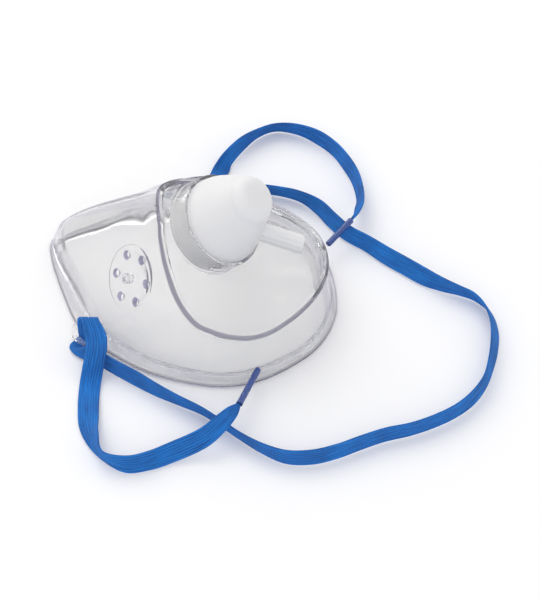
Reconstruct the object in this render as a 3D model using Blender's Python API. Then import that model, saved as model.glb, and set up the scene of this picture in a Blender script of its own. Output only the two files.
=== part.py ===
"""Oxygen face mask: clear shell, swivel connector and head strap.

Frame: +Y runs to the nose end, -Y to the chin end, +X to the strap tab on the
far side, +Z up from the face the rim rests on.  All dimensions are in
millimetres and are turned into metres when a mesh is made.
"""
import math

import bmesh
import bpy
from mathutils import Matrix, Vector

MM = 0.001

# Size of the moulding, and the size that its outlines and places below are drawn at
MASK_WIDTH = 87.0
MASK_LENGTH = 112.4
CREST_HEIGHT = 47.6
DRAWN_SIZE = (87.0, 112.4, 47.6)


def to_size(point):
    """Point of an outline, stretched from the drawn size to the mask's own."""
    sizes = (MASK_WIDTH, MASK_LENGTH, CREST_HEIGHT)
    return Vector([value * (size / drawn) for value, size, drawn in zip(point, sizes, DRAWN_SIZE)])


# Mask rim: half outline of the flange from nose to chin, (x, y)
RIM_HALF = [
    (0.0, 56.2), (8.6, 51.6), (16.5, 45.0), (25.3, 36.8), (31.0, 31.0),
    (36.0, 24.5), (39.5, 16.0), (42.0, 6.5), (43.5, -3.0), (43.4, -12.0),
    (42.2, -21.0), (39.8, -30.0), (35.5, -38.0), (28.5, -45.0), (20.0, -50.5),
    (10.5, -54.8), (0.0, -56.2),
]
FLANGE_WIDTH_SIDE = 5.0
FLANGE_WIDTH_NOSE = 1.9
FLANGE_WIDTH_CHIN = 2.4
FLANGE_THICK = 1.6

# Crest of the bead round the front face, half outline from nose to chin, (x, y, z)
BEAD_HALF = [
    (0.0, 8.9, 47.6), (4.4, 7.8, 46.9), (8.6, 5.8, 45.2), (12.6, 3.4, 42.7),
    (16.8, 1.0, 40.0), (23.2, -4.2, 34.4), (29.3, -11.4, 27.2),
    (32.4, -19.0, 22.2), (32.6, -25.5, 20.8), (31.4, -31.5, 19.7),
    (28.9, -37.6, 19.2), (24.4, -43.0, 19.4), (18.0, -47.4, 20.6),
    (9.5, -51.0, 22.0), (0.0, -52.3, 22.4),
]
BEAD_RADIUS = 1.25

SHELL_THICK = 1.3
WALL_BULGE_SIDE = 2.6
WALL_BULGE_NOSE = 6.2
WALL_BULGE_CHIN = 0.8
FACE_DISH = 1.6

# Turret: axis leans from the vertical toward the chin
TURRET_BASE = to_size((0.0, -8.4, 34.3))
TURRET_RISE_DEG = 45.0
COLLAR_RADIUS = 16.9
COLLAR_TOP_RADIUS = 16.7
COLLAR_HEIGHT = 9.5
COLLAR_WALL = 1.0
COLLAR_BORE_RADIUS = COLLAR_TOP_RADIUS - COLLAR_WALL
COLLAR_LIP_DEPTH = 0.6
COLLAR_LIP_RADIUS = COLLAR_BORE_RADIUS + COLLAR_LIP_DEPTH
COLLAR_LIP_HEIGHT = 1.9
COLLAR_LIP_CHAMFER = 0.4
COLLAR_FOOT_FILLET = 0.3
COLLAR_FOOT_HEIGHT = 1.0

# Vent panels
VENT_CENTRE = to_size((-24.9, 8.7, 25.0))
VENT_NORMAL = Vector((-0.72, 0.49, 0.49)).normalized()
VENT_RADIUS = 12.0
VENT_PLATE = 1.4
VENT_RIM_DEPTH = 3.4
VENT_RIM_WALL = 1.2
VENT_HOLE_RADIUS = 1.65
VENT_HOLE_CIRCLE = 8.6
VENT_HOLE_COUNT = 6
VENT_HOLE_TURN_DEG = 5.0
VENT_POST_RADIUS = 1.8
VENT_POST_HEIGHT = 2.9
VENT_POCKET_REACH = 9.0
VENT_DRILL_INWARD = 6.0
VENT_DRILL_OUTWARD = 4.0

# Strap tabs, outline on the near side, (x, y)
TAB_OUTLINE = [
    (-36.0, 14.0), (-40.0, 14.8), (-41.7, 18.0), (-42.1, 21.4), (-41.4, 24.4),
    (-39.8, 26.6), (-37.4, 27.9), (-34.8, 28.2), (-32.0, 27.0), (-31.0, 20.0),
]
TAB_BOTTOM = 1.3
TAB_TOP = 2.6
SLOT_CENTRE = to_size((-39.1, 21.4))
SLOT_LENGTH = 9.0
SLOT_WIDTH = 2.2
SLOT_ANGLE_DEG = 72.0
SLOT_CUT_BELOW = 2.3
SLOT_CUT_ABOVE = 0.4

# Swivel connector, heights along the turret axis from the collar's base
TURNING_GAP = 0.35
SEAT_GAP = 0.4
SKIRT_RADIUS = COLLAR_BORE_RADIUS - TURNING_GAP
SKIRT_BEAD_RADIUS = COLLAR_LIP_RADIUS - TURNING_GAP
SKIRT_FOOT = -0.9
SKIRT_BEAD_LOW = -0.2
SKIRT_BEAD_HIGH = 0.6
SKIRT_BEAD_END = 1.2
SKIRT_CHAMFER = 0.6
DOME_START = COLLAR_HEIGHT + SEAT_GAP
DOME_TOP = 30.6
DOME_TOP_RADIUS = 7.8
DOME_TOP_EDGE = 2.2
DOME_SHIFT_DOWN = -2.5
DOME_SHIFT_ACROSS = 1.3
DOME_WALL = 1.4
SPIGOT_TURN_DEG = 21.0
SPIGOT_RISE_DEG = 20.0
SPIGOT_MEET_HEIGHT = 9.8
SPIGOT_RADIUS = 3.5
SPIGOT_BORE_RADIUS = 2.1
SPIGOT_START = 6.0
SPIGOT_END = 29.5
SPIGOT_FLUTES = 12
SPIGOT_FLUTE_DEPTH = 0.25

# Strap: outer edge and inner edge of the ribbon, (x, y, z, x, y, z), near tip to far tip
STRAP_THICK = 0.8
STRAP_WIDTH = 7.6
TAIL_NEAR = [
    (-45.9, -43.4, 7.05, -45.8, -42.4, 7.15), (-48.2, -43.6, 7.35, -48.1, -42.6, 7.45),
    (-50.6, -44.3, 7.7, -50.0, -42.0, 8.3), (-54.4, -44.9, 8.0, -53.2, -40.9, 9.8),
    (-60.4, -44.4, 8.2, -59.3, -39.4, 11.2), (-66.6, -42.0, 6.4, -63.7, -37.3, 10.2),
    (-70.6, -38.0, 3.7, -67.0, -34.0, 8.2), (-76.4, -31.2, 1.1, -73.2, -27.2, 5.8),
    (-81.7, -25.7, 0.5, -79.1, -23.4, 6.7), (-86.4, -18.4, 0.5, -84.0, -17.8, 6.9),
    (-85.0, -9.8, 0.5, -86.0, -9.5, 7.3), (-81.4, -1.6, 0.5, -78.0, -3.8, 6.2),
    (-75.5, 5.1, 0.6, -71.1, -0.3, 3.0), (-67.6, 9.8, 0.6, -64.2, 3.2, 1.6),
    (-60.0, 13.3, 0.7, -57.2, 6.4, 0.8),
]
NEAR_LOOP = [
    (-55.7, 14.7, 2.4, -52.9, 7.7, 2.4), (-52.5, 15.0, 6.8, -49.9, 7.9, 6.8),
    (-49.7, 15.5, 9.5, -47.0, 8.4, 9.5), (-47.0, 16.6, 10.7, -44.2, 9.6, 10.7),
    (-44.9, 18.1, 11.9, -41.7, 11.2, 11.9), (-43.0, 20.2, 12.9, -39.4, 13.3, 12.9),
    (-41.4, 21.9, 13.7, -38.0, 14.9, 13.6), (-39.9, 23.2, 13.2, -36.6, 16.3, 12.8),
    (-39.0, 24.1, 11.2, -36.4, 17.1, 10.8), (-38.8, 24.5, 8.2, -37.1, 17.4, 8.0),
    (-38.3, 24.7, 5.2, -39.1, 17.7, 5.1), (-38.0, 24.7, 2.6, -40.2, 18.0, 2.6),
    (-38.0, 24.7, 1.5, -40.2, 18.0, 1.5), (-38.5, 24.9, 0.7, -40.7, 18.2, 0.7),
    (-39.9, 25.3, 0.5, -42.0, 18.6, 0.5), (-42.3, 26.0, 0.5, -43.8, 19.2, 0.9),
    (-44.4, 25.2, 0.5, -44.3, 19.4, 3.4), (-45.9, 22.9, 0.5, -44.9, 18.7, 5.3),
    (-46.7, 19.8, 0.5, -45.5, 17.1, 6.6), (-46.9, 16.3, 0.5, -46.0, 14.9, 7.1),
]
LONG_RUN = [
    (-47.3, 11.8, 0.5, -46.3, 11.3, 7.3), (-48.9, 4.4, 0.5, -47.9, 4.2, 7.3),
    (-50.6, -4.4, 0.5, -49.4, -4.6, 7.3), (-51.8, -13.3, 0.5, -51.7, -13.3, 7.4),
    (-52.2, -22.3, 0.5, -53.5, -22.3, 7.3), (-52.8, -31.3, 0.5, -54.7, -30.9, 7.1),
    (-55.2, -39.9, 0.5, -56.9, -39.4, 7.1), (-57.8, -48.5, 0.5, -59.5, -47.9, 7.1),
    (-60.0, -57.1, 0.5, -61.0, -56.9, 7.3), (-60.8, -66.0, 0.5, -60.5, -65.9, 7.4),
    (-57.5, -74.3, 0.5, -56.7, -73.8, 7.3), (-51.7, -81.1, 0.5, -51.1, -80.4, 7.3),
    (-44.8, -87.0, 0.5, -44.4, -86.5, 7.4), (-38.2, -93.1, 0.5, -37.9, -92.8, 7.4),
    (-32.4, -99.9, 0.5, -32.3, -99.9, 7.4), (-25.9, -106.0, 0.5, -25.8, -105.9, 7.4),
    (-18.6, -111.3, 0.5, -18.4, -111.0, 7.4), (-10.5, -115.0, 0.5, -10.2, -114.1, 7.3),
    (-1.6, -116.3, 0.5, -1.6, -115.3, 7.3), (7.4, -115.7, 0.5, 7.2, -113.9, 7.1),
    (16.3, -114.2, 0.5, 15.8, -111.6, 6.9), (25.1, -111.2, 0.5, 23.9, -108.4, 6.7),
    (32.4, -106.0, 0.5, 30.4, -103.6, 6.7), (36.0, -99.0, 0.5, 33.8, -98.4, 7.0),
    (36.4, -92.6, 0.5, 34.8, -92.6, 7.2), (35.6, -86.0, 0.5, 35.9, -86.1, 7.4),
    (35.5, -78.3, 0.5, 38.5, -78.7, 6.8), (37.6, -69.6, 0.5, 41.0, -70.5, 6.5),
    (39.9, -60.9, 0.5, 43.2, -62.0, 6.5), (43.0, -52.5, 0.5, 45.3, -53.3, 7.0),
    (45.2, -43.8, 0.5, 47.3, -44.6, 7.1), (48.9, -35.9, 0.5, 51.3, -37.2, 6.9),
    (53.9, -28.2, 0.5, 55.4, -29.2, 7.2), (57.4, -20.4, 0.5, 56.4, -20.0, 7.3),
    (57.4, -11.8, 0.5, 55.4, -11.9, 7.2), (55.2, -3.6, 0.5, 53.4, -4.2, 7.2),
    (52.6, 4.4, 0.5, 51.0, 3.8, 7.2), (50.4, 11.2, 0.9, 48.8, 10.4, 7.3),
]
FAR_LOOP = [
    (48.8, 16.0, 1.7, 46.8, 14.2, 7.4), (47.0, 19.8, 2.3, 44.5, 16.3, 7.1),
    (45.0, 23.4, 2.9, 43.0, 17.6, 5.9), (43.0, 25.2, 3.4, 42.6, 18.6, 4.6),
    (40.8, 25.5, 3.7, 42.2, 18.8, 3.8), (39.0, 25.0, 3.8, 41.1, 18.4, 3.8),
    (38.1, 24.7, 3.1, 40.3, 18.0, 3.1), (38.0, 24.7, 2.2, 40.2, 18.0, 2.2),
    (38.0, 24.7, 1.4, 40.2, 18.0, 1.4), (38.6, 24.9, 0.7, 40.8, 18.2, 0.7),
    (40.3, 25.5, 0.5, 42.4, 18.8, 0.5), (43.4, 26.4, 0.5, 45.3, 19.8, 0.5),
    (46.4, 24.6, 0.5, 47.0, 18.4, 0.5), (50.2, 21.1, 0.5, 48.4, 14.9, 0.5),
]
TAIL_FAR = [
    (55.2, 17.7, 0.9, 53.0, 11.6, 0.5),
    (60.8, 17.4, 2.6, 60.9, 11.4, 0.7), (66.0, 15.3, 6.3, 66.0, 12.4, 0.6),
    (75.1, 12.4, 7.3, 75.0, 11.6, 0.5), (82.9, 7.8, 7.1, 83.7, 9.6, 0.5),
    (87.9, 3.1, 6.9, 90.1, 4.6, 0.5), (90.4, -4.2, 7.3, 91.7, -4.3, 0.5),
    (90.6, -13.3, 7.3, 89.7, -13.0, 0.5), (87.3, -21.9, 7.3, 86.2, -21.3, 0.5),
    (82.1, -29.6, 7.2, 80.6, -28.4, 0.5), (75.5, -36.3, 7.2, 74.3, -34.7, 0.5),
    (67.3, -41.6, 7.5, 66.6, -39.6, 1.0), (59.9, -44.8, 8.6, 59.4, -41.7, 3.6),
    (53.6, -45.7, 9.4, 53.3, -43.6, 6.6), (50.0, -45.1, 9.1, 49.9, -44.2, 8.6),
    (47.6, -44.7, 8.9, 47.5, -43.9, 8.5), (45.2, -44.2, 8.7, 45.1, -43.4, 8.3),
]

# Strap tips: mouth, closed end, (x, y, z)
TIP_NEAR = ((-48.7, -43.15, 7.5), (-30.6, -42.2, 6.5))
TIP_FAR = ((48.3, -44.45, 8.8), (33.9, -41.2, 8.0))
TIP_RADIUS = 1.2
TIP_BORE_RADIUS = 0.95
TIP_BORE_DEPTH = 3.6

AROUND_COUNT = 64

# Turret axes: T along the axis, U down the face toward the chin, X across
RISE = math.radians(TURRET_RISE_DEG)
T_AXIS = Vector((0.0, -math.cos(RISE), math.sin(RISE)))
U_AXIS = Vector((0.0, -math.sin(RISE), -math.cos(RISE)))
X_AXIS = Vector((1.0, 0.0, 0.0))


def clear_scene():
    for item in list(bpy.data.objects):
        bpy.data.objects.remove(item, do_unlink=True)


def make_material(name, colour, roughness, metallic=0.0, alpha=1.0):
    material = bpy.data.materials.new(name)
    material.use_nodes = True
    shader = material.node_tree.nodes["Principled BSDF"]
    shader.inputs["Base Color"].default_value = (*colour, 1.0)
    shader.inputs["Roughness"].default_value = roughness
    shader.inputs["Metallic"].default_value = metallic
    shader.inputs["Alpha"].default_value = alpha
    material.diffuse_color = (*colour, 1.0)
    return material


def make_object(name, points, faces, material=None):
    """Mesh object from points in millimetres, with outward faces."""
    mesh = bpy.data.meshes.new(name)
    mesh.from_pydata([tuple(p * MM for p in point) for point in points], [], faces)
    mesh.validate()
    work = bmesh.new()
    work.from_mesh(mesh)
    bmesh.ops.remove_doubles(work, verts=work.verts, dist=1e-7)
    bmesh.ops.recalc_face_normals(work, faces=work.faces)
    if work.calc_volume(signed=True) < 0.0:
        bmesh.ops.reverse_faces(work, faces=work.faces)
    work.to_mesh(mesh)
    work.free()
    item = bpy.data.objects.new(name, mesh)
    bpy.context.collection.objects.link(item)
    if material:
        mesh.materials.append(material)
    return item


def catmull(a, b, c, d, t):
    return 0.5 * ((2.0 * b) + (c - a) * t + (2.0 * a - 5.0 * b + 4.0 * c - d) * t * t
                  + (3.0 * b - a - 3.0 * c + d) * t * t * t)


def mirrored(point):
    return Vector((-point.x, point.y, point.z))


def half_curve(points, count):
    """Smooth half outline through the points, evenly spaced, on the near side."""
    given = [to_size((-p[0], p[1], p[2] if len(p) > 2 else 0.0)) for p in points]
    chain = [mirrored(given[1])] + given + [mirrored(given[-2])]
    dense = []
    for i in range(1, len(chain) - 2):
        for k in range(24):
            dense.append(catmull(chain[i - 1], chain[i], chain[i + 1], chain[i + 2], k / 24.0))
    dense.append(given[-1])
    lengths = [0.0]
    for a, b in zip(dense, dense[1:]):
        lengths.append(lengths[-1] + (b - a).length)
    result = []
    j = 0
    for k in range(count + 1):
        want = lengths[-1] * k / count
        while j < len(lengths) - 2 and lengths[j + 1] < want:
            j += 1
        span = lengths[j + 1] - lengths[j]
        t = 0.0 if span == 0.0 else (want - lengths[j]) / span
        result.append(dense[j].lerp(dense[j + 1], min(1.0, max(0.0, t))))
    return result


def full_ring(half):
    """Closed ring: nose, near side, chin, far side."""
    far = [mirrored(p) for p in reversed(half[1:-1])]
    return list(half) + far


def ring_tangents(ring):
    n = len(ring)
    return [(ring[(i + 1) % n] - ring[i - 1]).normalized() for i in range(n)]


def by_station(index, count, nose, side, chin):
    """Value that varies round a ring from the nose, over the sides, to the chin."""
    along = 1.0 - 2.0 * min(index, count - index) * 2.0 / count
    nose_share = max(0.0, along * 1.7 - 0.7) ** 1.2
    chin_share = max(0.0, -along * 1.7 - 0.7) ** 1.2
    return nose * nose_share + chin * chin_share + side * (1.0 - nose_share - chin_share)


def inset_flange(ring, extra):
    """Ring moved inward by the flange's width, in the plane of the floor."""
    moved = []
    for i, (point, tangent) in enumerate(zip(ring, ring_tangents(ring))):
        inward = Vector((-tangent.y, tangent.x, 0.0)).normalized()
        width = by_station(i, len(ring), FLANGE_WIDTH_NOSE, FLANGE_WIDTH_SIDE, FLANGE_WIDTH_CHIN)
        moved.append(point + inward * (width + extra))
    return moved


def at_height(ring, z):
    return [Vector((p.x, p.y, z)) for p in ring]


def surface_normals(rings):
    """Outward normals of a grid of rings, one list per ring."""
    normals = []
    for k, ring in enumerate(rings):
        low = rings[max(0, k - 1)]
        high = rings[min(len(rings) - 1, k + 1)]
        row = []
        for tangent, a, b in zip(ring_tangents(ring), low, high):
            row.append(tangent.cross(b - a).normalized())
        normals.append(row)
    return normals


def turret_point(along, across, height):
    return TURRET_BASE + U_AXIS * along + X_AXIS * across + T_AXIS * height


def turret_circle(ring, radius, height):
    """Circle round the turret axis, with its points facing those of a ring."""
    circle = []
    for point in ring:
        offset = point - TURRET_BASE
        turn = math.atan2(offset.dot(X_AXIS), offset.dot(U_AXIS))
        circle.append(turret_point(radius * math.cos(turn), radius * math.sin(turn), height))
    return circle


def blend(a, b, t):
    return [p.lerp(q, t) for p, q in zip(a, b)]


def wall_rings(bottom, top, steps):
    """Rings of the side wall between the flange bend and the bead."""
    tangents = ring_tangents(blend(bottom, top, 0.5))
    rings = []
    for k in range(steps + 1):
        t = k / steps
        shape = math.sin(math.pi * t ** 0.5)
        ring = []
        for i, (a, b) in enumerate(zip(bottom, top)):
            outward = tangents[i].cross(b - a).normalized()
            bulge = by_station(i, len(bottom), WALL_BULGE_NOSE, WALL_BULGE_SIDE, WALL_BULGE_CHIN)
            ring.append(a.lerp(b, t) + outward * (bulge * shape))
        rings.append(ring)
    return rings


def face_rings(outer, inner, steps):
    """Rings of the dished front face between the bead and the collar."""
    rings = []
    for k in range(steps + 1):
        t = k / steps
        ring = []
        for a, b in zip(outer, inner):
            reach = min(1.0, (b - a).length / 30.0)
            dip = FACE_DISH * reach * math.sin(math.pi * t)
            ring.append(a.lerp(b, t) - T_AXIS * dip)
        rings.append(ring)
    return rings


def skin_from_rings(rings, closed):
    """Points and quads of a tube of rings."""
    count = len(rings[0])
    points = [p for ring in rings for p in ring]
    faces = []
    last = len(rings) if closed else len(rings) - 1
    for k in range(last):
        a = k * count
        b = ((k + 1) % len(rings)) * count
        for i in range(count):
            j = (i + 1) % count
            faces.append((a + i, a + j, b + j, b + i))
    return points, faces


def shell_rings(around):
    """All rings of the moulding, outside from rim to collar and back inside."""
    half = around // 2
    rim = full_ring(half_curve(RIM_HALF, half))
    crest = full_ring(half_curve(BEAD_HALF, half))
    bend = at_height(inset_flange(rim, 0.0), FLANGE_THICK)
    collar_foot = turret_circle(crest, COLLAR_RADIUS + COLLAR_FOOT_FILLET, 0.0)
    crest_tangents = ring_tangents(crest)

    corner = []
    bead = [[] for _ in range(5)]
    for i, point in enumerate(crest):
        wall_normal = crest_tangents[i].cross(point - bend[i]).normalized()
        face_normal = crest_tangents[i].cross(collar_foot[i] - point).normalized()
        middle = (wall_normal + face_normal).normalized()
        side = crest_tangents[i].cross(middle).normalized()
        if side.dot(wall_normal) < 0.0:
            side = -side
        centre = point - middle * BEAD_RADIUS
        corner.append(centre)
        for k, degrees in enumerate((80.0, 42.0, 0.0, -42.0, -80.0)):
            angle = math.radians(degrees)
            bead[k].append(centre + (middle * math.cos(angle) + side * math.sin(angle)) * BEAD_RADIUS)

    walls = wall_rings(bend, corner, 6)
    faces = face_rings(corner, collar_foot, 4)
    skin = walls + faces[1:]
    normals = surface_normals(skin)
    inner = [[p - n * SHELL_THICK for p, n in zip(ring, row)] for ring, row in zip(skin, normals)]

    outside = [at_height(rim, 0.0), at_height(rim, FLANGE_THICK)] + walls[:-1] + bead + faces[1:]
    collar = [
        turret_circle(crest, COLLAR_RADIUS, COLLAR_FOOT_HEIGHT),
        turret_circle(crest, COLLAR_TOP_RADIUS, COLLAR_HEIGHT),
        turret_circle(crest, COLLAR_BORE_RADIUS, COLLAR_HEIGHT),
        turret_circle(crest, COLLAR_BORE_RADIUS, COLLAR_LIP_HEIGHT),
        turret_circle(crest, COLLAR_LIP_RADIUS, COLLAR_LIP_HEIGHT - COLLAR_LIP_CHAMFER),
        turret_circle(crest, COLLAR_LIP_RADIUS, -SHELL_THICK),
    ]
    inside = list(reversed(inner[1:-2]))
    foot = at_height(inset_flange(rim, SHELL_THICK), 0.0)
    return outside + collar + inside + [foot]


def cylinder_between(name, centre, axis, radius, low, high, sides):
    """Plain cylinder along an axis, between two distances from its centre."""
    axis = axis.normalized()
    helper = Vector((0.0, 0.0, 1.0)) if abs(axis.z) < 0.9 else Vector((1.0, 0.0, 0.0))
    right = axis.cross(helper).normalized()
    up = right.cross(axis).normalized()
    rings = []
    for distance in (low, high):
        ring = []
        for k in range(sides):
            angle = 2.0 * math.pi * (k + 0.5) / sides
            ring.append(centre + axis * distance
                        + (right * math.cos(angle) + up * math.sin(angle)) * radius)
        rings.append(ring)
    points, faces = skin_from_rings(rings, False)
    faces.append(tuple(range(sides)))
    faces.append(tuple(range(sides, 2 * sides)))
    return make_object(name, points, faces)


def apply_boolean(target, cutter, operation):
    modifier = target.modifiers.new(operation.lower(), "BOOLEAN")
    modifier.operation = operation
    modifier.solver = "EXACT"
    modifier.object = cutter
    bpy.context.view_layer.objects.active = target
    bpy.ops.object.modifier_apply(modifier=modifier.name)
    bpy.data.objects.remove(cutter, do_unlink=True)


def vent_frame(mirror):
    centre = Vector(VENT_CENTRE)
    normal = Vector(VENT_NORMAL)
    if mirror:
        centre.x = -centre.x
        normal.x = -normal.x
    return centre, normal


def vent_hole_centres(centre, normal):
    """Hole centres on the panel, the first at its upper nose side."""
    level = Vector((0.0, 0.0, 1.0)).cross(normal).normalized()
    slope = normal.cross(level).normalized()
    centres = []
    for k in range(VENT_HOLE_COUNT):
        angle = 2.0 * math.pi * k / VENT_HOLE_COUNT + math.radians(VENT_HOLE_TURN_DEG)
        centres.append(centre + (slope * math.cos(angle) + level * math.sin(angle)) * VENT_HOLE_CIRCLE)
    return centres


def prism(name, outline, bottom, top):
    count = len(outline)
    points = [Vector((x, y, bottom)) for x, y in outline] + [Vector((x, y, top)) for x, y in outline]
    faces = [tuple(range(count)), tuple(range(count, 2 * count))]
    for i in range(count):
        j = (i + 1) % count
        faces.append((i, j, count + j, count + i))
    return make_object(name, points, faces)


def slot_outline(mirror):
    angle = math.radians(SLOT_ANGLE_DEG)
    along = Vector((math.cos(angle), math.sin(angle), 0.0))
    across = Vector((-along.y, along.x, 0.0))
    straight = (SLOT_LENGTH - SLOT_WIDTH) / 2.0
    outline = []
    for end, start in ((1.0, -90.0), (-1.0, 90.0)):
        for k in range(7):
            turn = math.radians(start + 30.0 * k)
            offset = along * (end * straight + math.cos(turn) * SLOT_WIDTH / 2.0)
            offset += across * (math.sin(turn) * SLOT_WIDTH / 2.0)
            x = SLOT_CENTRE[0] + offset.x
            outline.append((-x if mirror else x, SLOT_CENTRE[1] + offset.y))
    return outline


def build_shell(material):
    """Flange, walls, bead, front face, collar, vent panels and strap tabs."""
    points, faces = skin_from_rings(shell_rings(AROUND_COUNT), True)
    shell = make_object("mask_shell", points, faces, material)
    for mirror in (False, True):
        tab = [(-x if mirror else x, y) for x, y in map(to_size, TAB_OUTLINE)]
        apply_boolean(shell, prism("tab", tab, TAB_BOTTOM, TAB_TOP), "UNION")
        apply_boolean(shell, prism("slot", slot_outline(mirror),
                                   TAB_BOTTOM - SLOT_CUT_BELOW, TAB_TOP + SLOT_CUT_ABOVE), "DIFFERENCE")
        centre, normal = vent_frame(mirror)
        cup = cylinder_between("cup", centre, normal, VENT_RADIUS,
                               VENT_PLATE - VENT_RIM_DEPTH, VENT_PLATE * 0.5, 40)
        apply_boolean(shell, cup, "UNION")
        pocket = cylinder_between("pocket", centre, normal, VENT_RADIUS - VENT_RIM_WALL,
                                  -VENT_POCKET_REACH, -VENT_PLATE * 0.5, 40)
        apply_boolean(shell, pocket, "DIFFERENCE")
        post = cylinder_between("post", centre, normal, VENT_POST_RADIUS,
                                0.0, VENT_PLATE * 0.5 + VENT_POST_HEIGHT, 16)
        apply_boolean(shell, post, "UNION")
        for hole in vent_hole_centres(centre, normal):
            drill = cylinder_between("hole", hole, normal, VENT_HOLE_RADIUS,
                                   -VENT_DRILL_INWARD, VENT_DRILL_OUTWARD, 14)
            apply_boolean(shell, drill, "DIFFERENCE")
    return shell


def connector_axis():
    """Unit vector along the spigot, away from the turret axis."""
    turn = math.radians(SPIGOT_TURN_DEG)
    rise = math.radians(SPIGOT_RISE_DEG)
    level = U_AXIS * math.cos(turn) + X_AXIS * math.sin(turn)
    return level * math.cos(rise) + T_AXIS * math.sin(rise)


def dome_profile(outer):
    """Radius, height and shift of the rings of the dome, from skirt to roof."""
    wall = 0.0 if outer else DOME_WALL
    rows = []
    steps = 6
    start = DOME_START if outer else COLLAR_HEIGHT
    for k in range(steps + 1):
        t = k / steps
        radius = SKIRT_RADIUS + (DOME_TOP_RADIUS + 0.6 - SKIRT_RADIUS) * t ** 1.12
        height = start + (DOME_TOP - DOME_TOP_EDGE - start) * t
        rows.append((radius - wall, height - (wall * 0.4 if t > 0.5 else 0.0), t))
    for degrees in (30.0, 60.0):
        angle = math.radians(degrees)
        radius = DOME_TOP_RADIUS + 0.5 - DOME_TOP_EDGE * (1.0 - math.cos(angle))
        height = DOME_TOP - DOME_TOP_EDGE * (1.0 - math.sin(angle))
        rows.append((radius - wall, height - wall, 1.0))
    rows.append((DOME_TOP_RADIUS - DOME_TOP_EDGE - wall, DOME_TOP - wall, 1.0))
    return rows


def connector_ring(radius, height, shift, sides):
    """Ring round the turret axis, moved by a share of the roof's offset."""
    ring = []
    for k in range(sides):
        angle = 2.0 * math.pi * k / sides
        along = radius * math.cos(angle) + shift * DOME_SHIFT_DOWN
        across = radius * math.sin(angle) + shift * DOME_SHIFT_ACROSS
        ring.append(turret_point(along, across, height))
    return ring


def build_connector(material):
    """Hollow white turret cap with its fluted spigot, free to turn in the collar."""
    sides = 48
    outer = [(SKIRT_RADIUS - SKIRT_CHAMFER, SKIRT_FOOT, 0.0), (SKIRT_BEAD_RADIUS, SKIRT_BEAD_LOW, 0.0),
             (SKIRT_BEAD_RADIUS, SKIRT_BEAD_HIGH, 0.0), (SKIRT_RADIUS, SKIRT_BEAD_END, 0.0)]
    outer += dome_profile(True)
    inner = [(SKIRT_RADIUS - DOME_WALL, SKIRT_FOOT, 0.0)] + dome_profile(False)
    rings = [connector_ring(r, h, s, sides) for r, h, s in outer]
    count = len(rings)
    rings += [connector_ring(r, h, s, sides) for r, h, s in reversed(inner)]
    points, faces = skin_from_rings(rings, True)
    roof_low = (count - 1) * sides
    faces = [f for f in faces if not (f[0] >= roof_low and f[0] < roof_low + sides)]
    faces.append(tuple(range(roof_low, roof_low + sides)))
    faces.append(tuple(range(roof_low + sides, roof_low + 2 * sides)))
    body = make_object("swivel_connector", points, faces, material)

    axis = connector_axis()
    centre = turret_point(0.0, 0.0, SPIGOT_MEET_HEIGHT)
    helper = axis.cross(T_AXIS).normalized()
    other = helper.cross(axis).normalized()
    count = SPIGOT_FLUTES * 4
    rings = []
    for distance, scale in ((SPIGOT_START, 1.0), (SPIGOT_END - 0.8, 1.0), (SPIGOT_END, 0.9)):
        ring = []
        for k in range(count):
            angle = 2.0 * math.pi * k / count
            wave = SPIGOT_FLUTE_DEPTH * (1.0 if k % 4 in (0, 1) else 0.0)
            radius = (SPIGOT_RADIUS - wave) * scale
            ring.append(centre + axis * distance
                        + (helper * math.cos(angle) + other * math.sin(angle)) * radius)
        rings.append(ring)
    points, faces = skin_from_rings(rings, False)
    faces.append(tuple(range(count)))
    faces.append(tuple(range(2 * count, 3 * count)))
    apply_boolean(body, make_object("spigot", points, faces), "UNION")
    bore = cylinder_between("bore", centre, axis, SPIGOT_BORE_RADIUS, SPIGOT_START - 1.0,
                            SPIGOT_END + 1.0, 24)
    apply_boolean(body, bore, "DIFFERENCE")
    body.data.transform(Matrix.Translation(-TURRET_BASE * MM))
    body.location = TURRET_BASE * MM
    return body


def strap_rows():
    """Edge points of the whole strap, near tip to far tip."""
    return TAIL_NEAR + NEAR_LOOP + LONG_RUN + FAR_LOOP + TAIL_FAR


def strap_stations(rows, steps):
    """Smoothly spaced pairs of edge points along the strap."""
    edges = [(Vector(r[0:3]), Vector(r[3:6])) for r in rows]
    chain = [edges[0]] + edges + [edges[-1]]
    stations = []
    for i in range(1, len(chain) - 2):
        for k in range(steps):
            pair = []
            for side in (0, 1):
                a, b, c, d = (chain[i + j][side] for j in (-1, 0, 1, 2))
                pair.append(catmull(a, b, c, d, k / steps))
            stations.append(tuple(pair))
    stations.append(edges[-1])
    return stations


def build_strap(material):
    """Flat woven elastic, one closed ribbon through both tabs."""
    stations = strap_stations(strap_rows(), 3)
    centres = [(a + b) / 2.0 for a, b in stations]
    rings = []
    for i, (a, b) in enumerate(stations):
        along = centres[min(i + 1, len(centres) - 1)] - centres[max(i - 1, 0)]
        across = (b - a) * (min(STRAP_WIDTH, (b - a).length) / (b - a).length / 2.0)
        normal = along.cross(across).normalized() * (STRAP_THICK / 2.0)
        centre = centres[i]
        rings.append([centre - across - normal, centre - normal, centre + across - normal,
                      centre + across + normal, centre + normal, centre - across + normal])
    points, faces = skin_from_rings(rings, False)
    faces.append(tuple(range(5, -1, -1)))
    faces.append(tuple(range(len(points) - 6, len(points))))
    return make_object("head_strap", points, faces, material)


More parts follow.
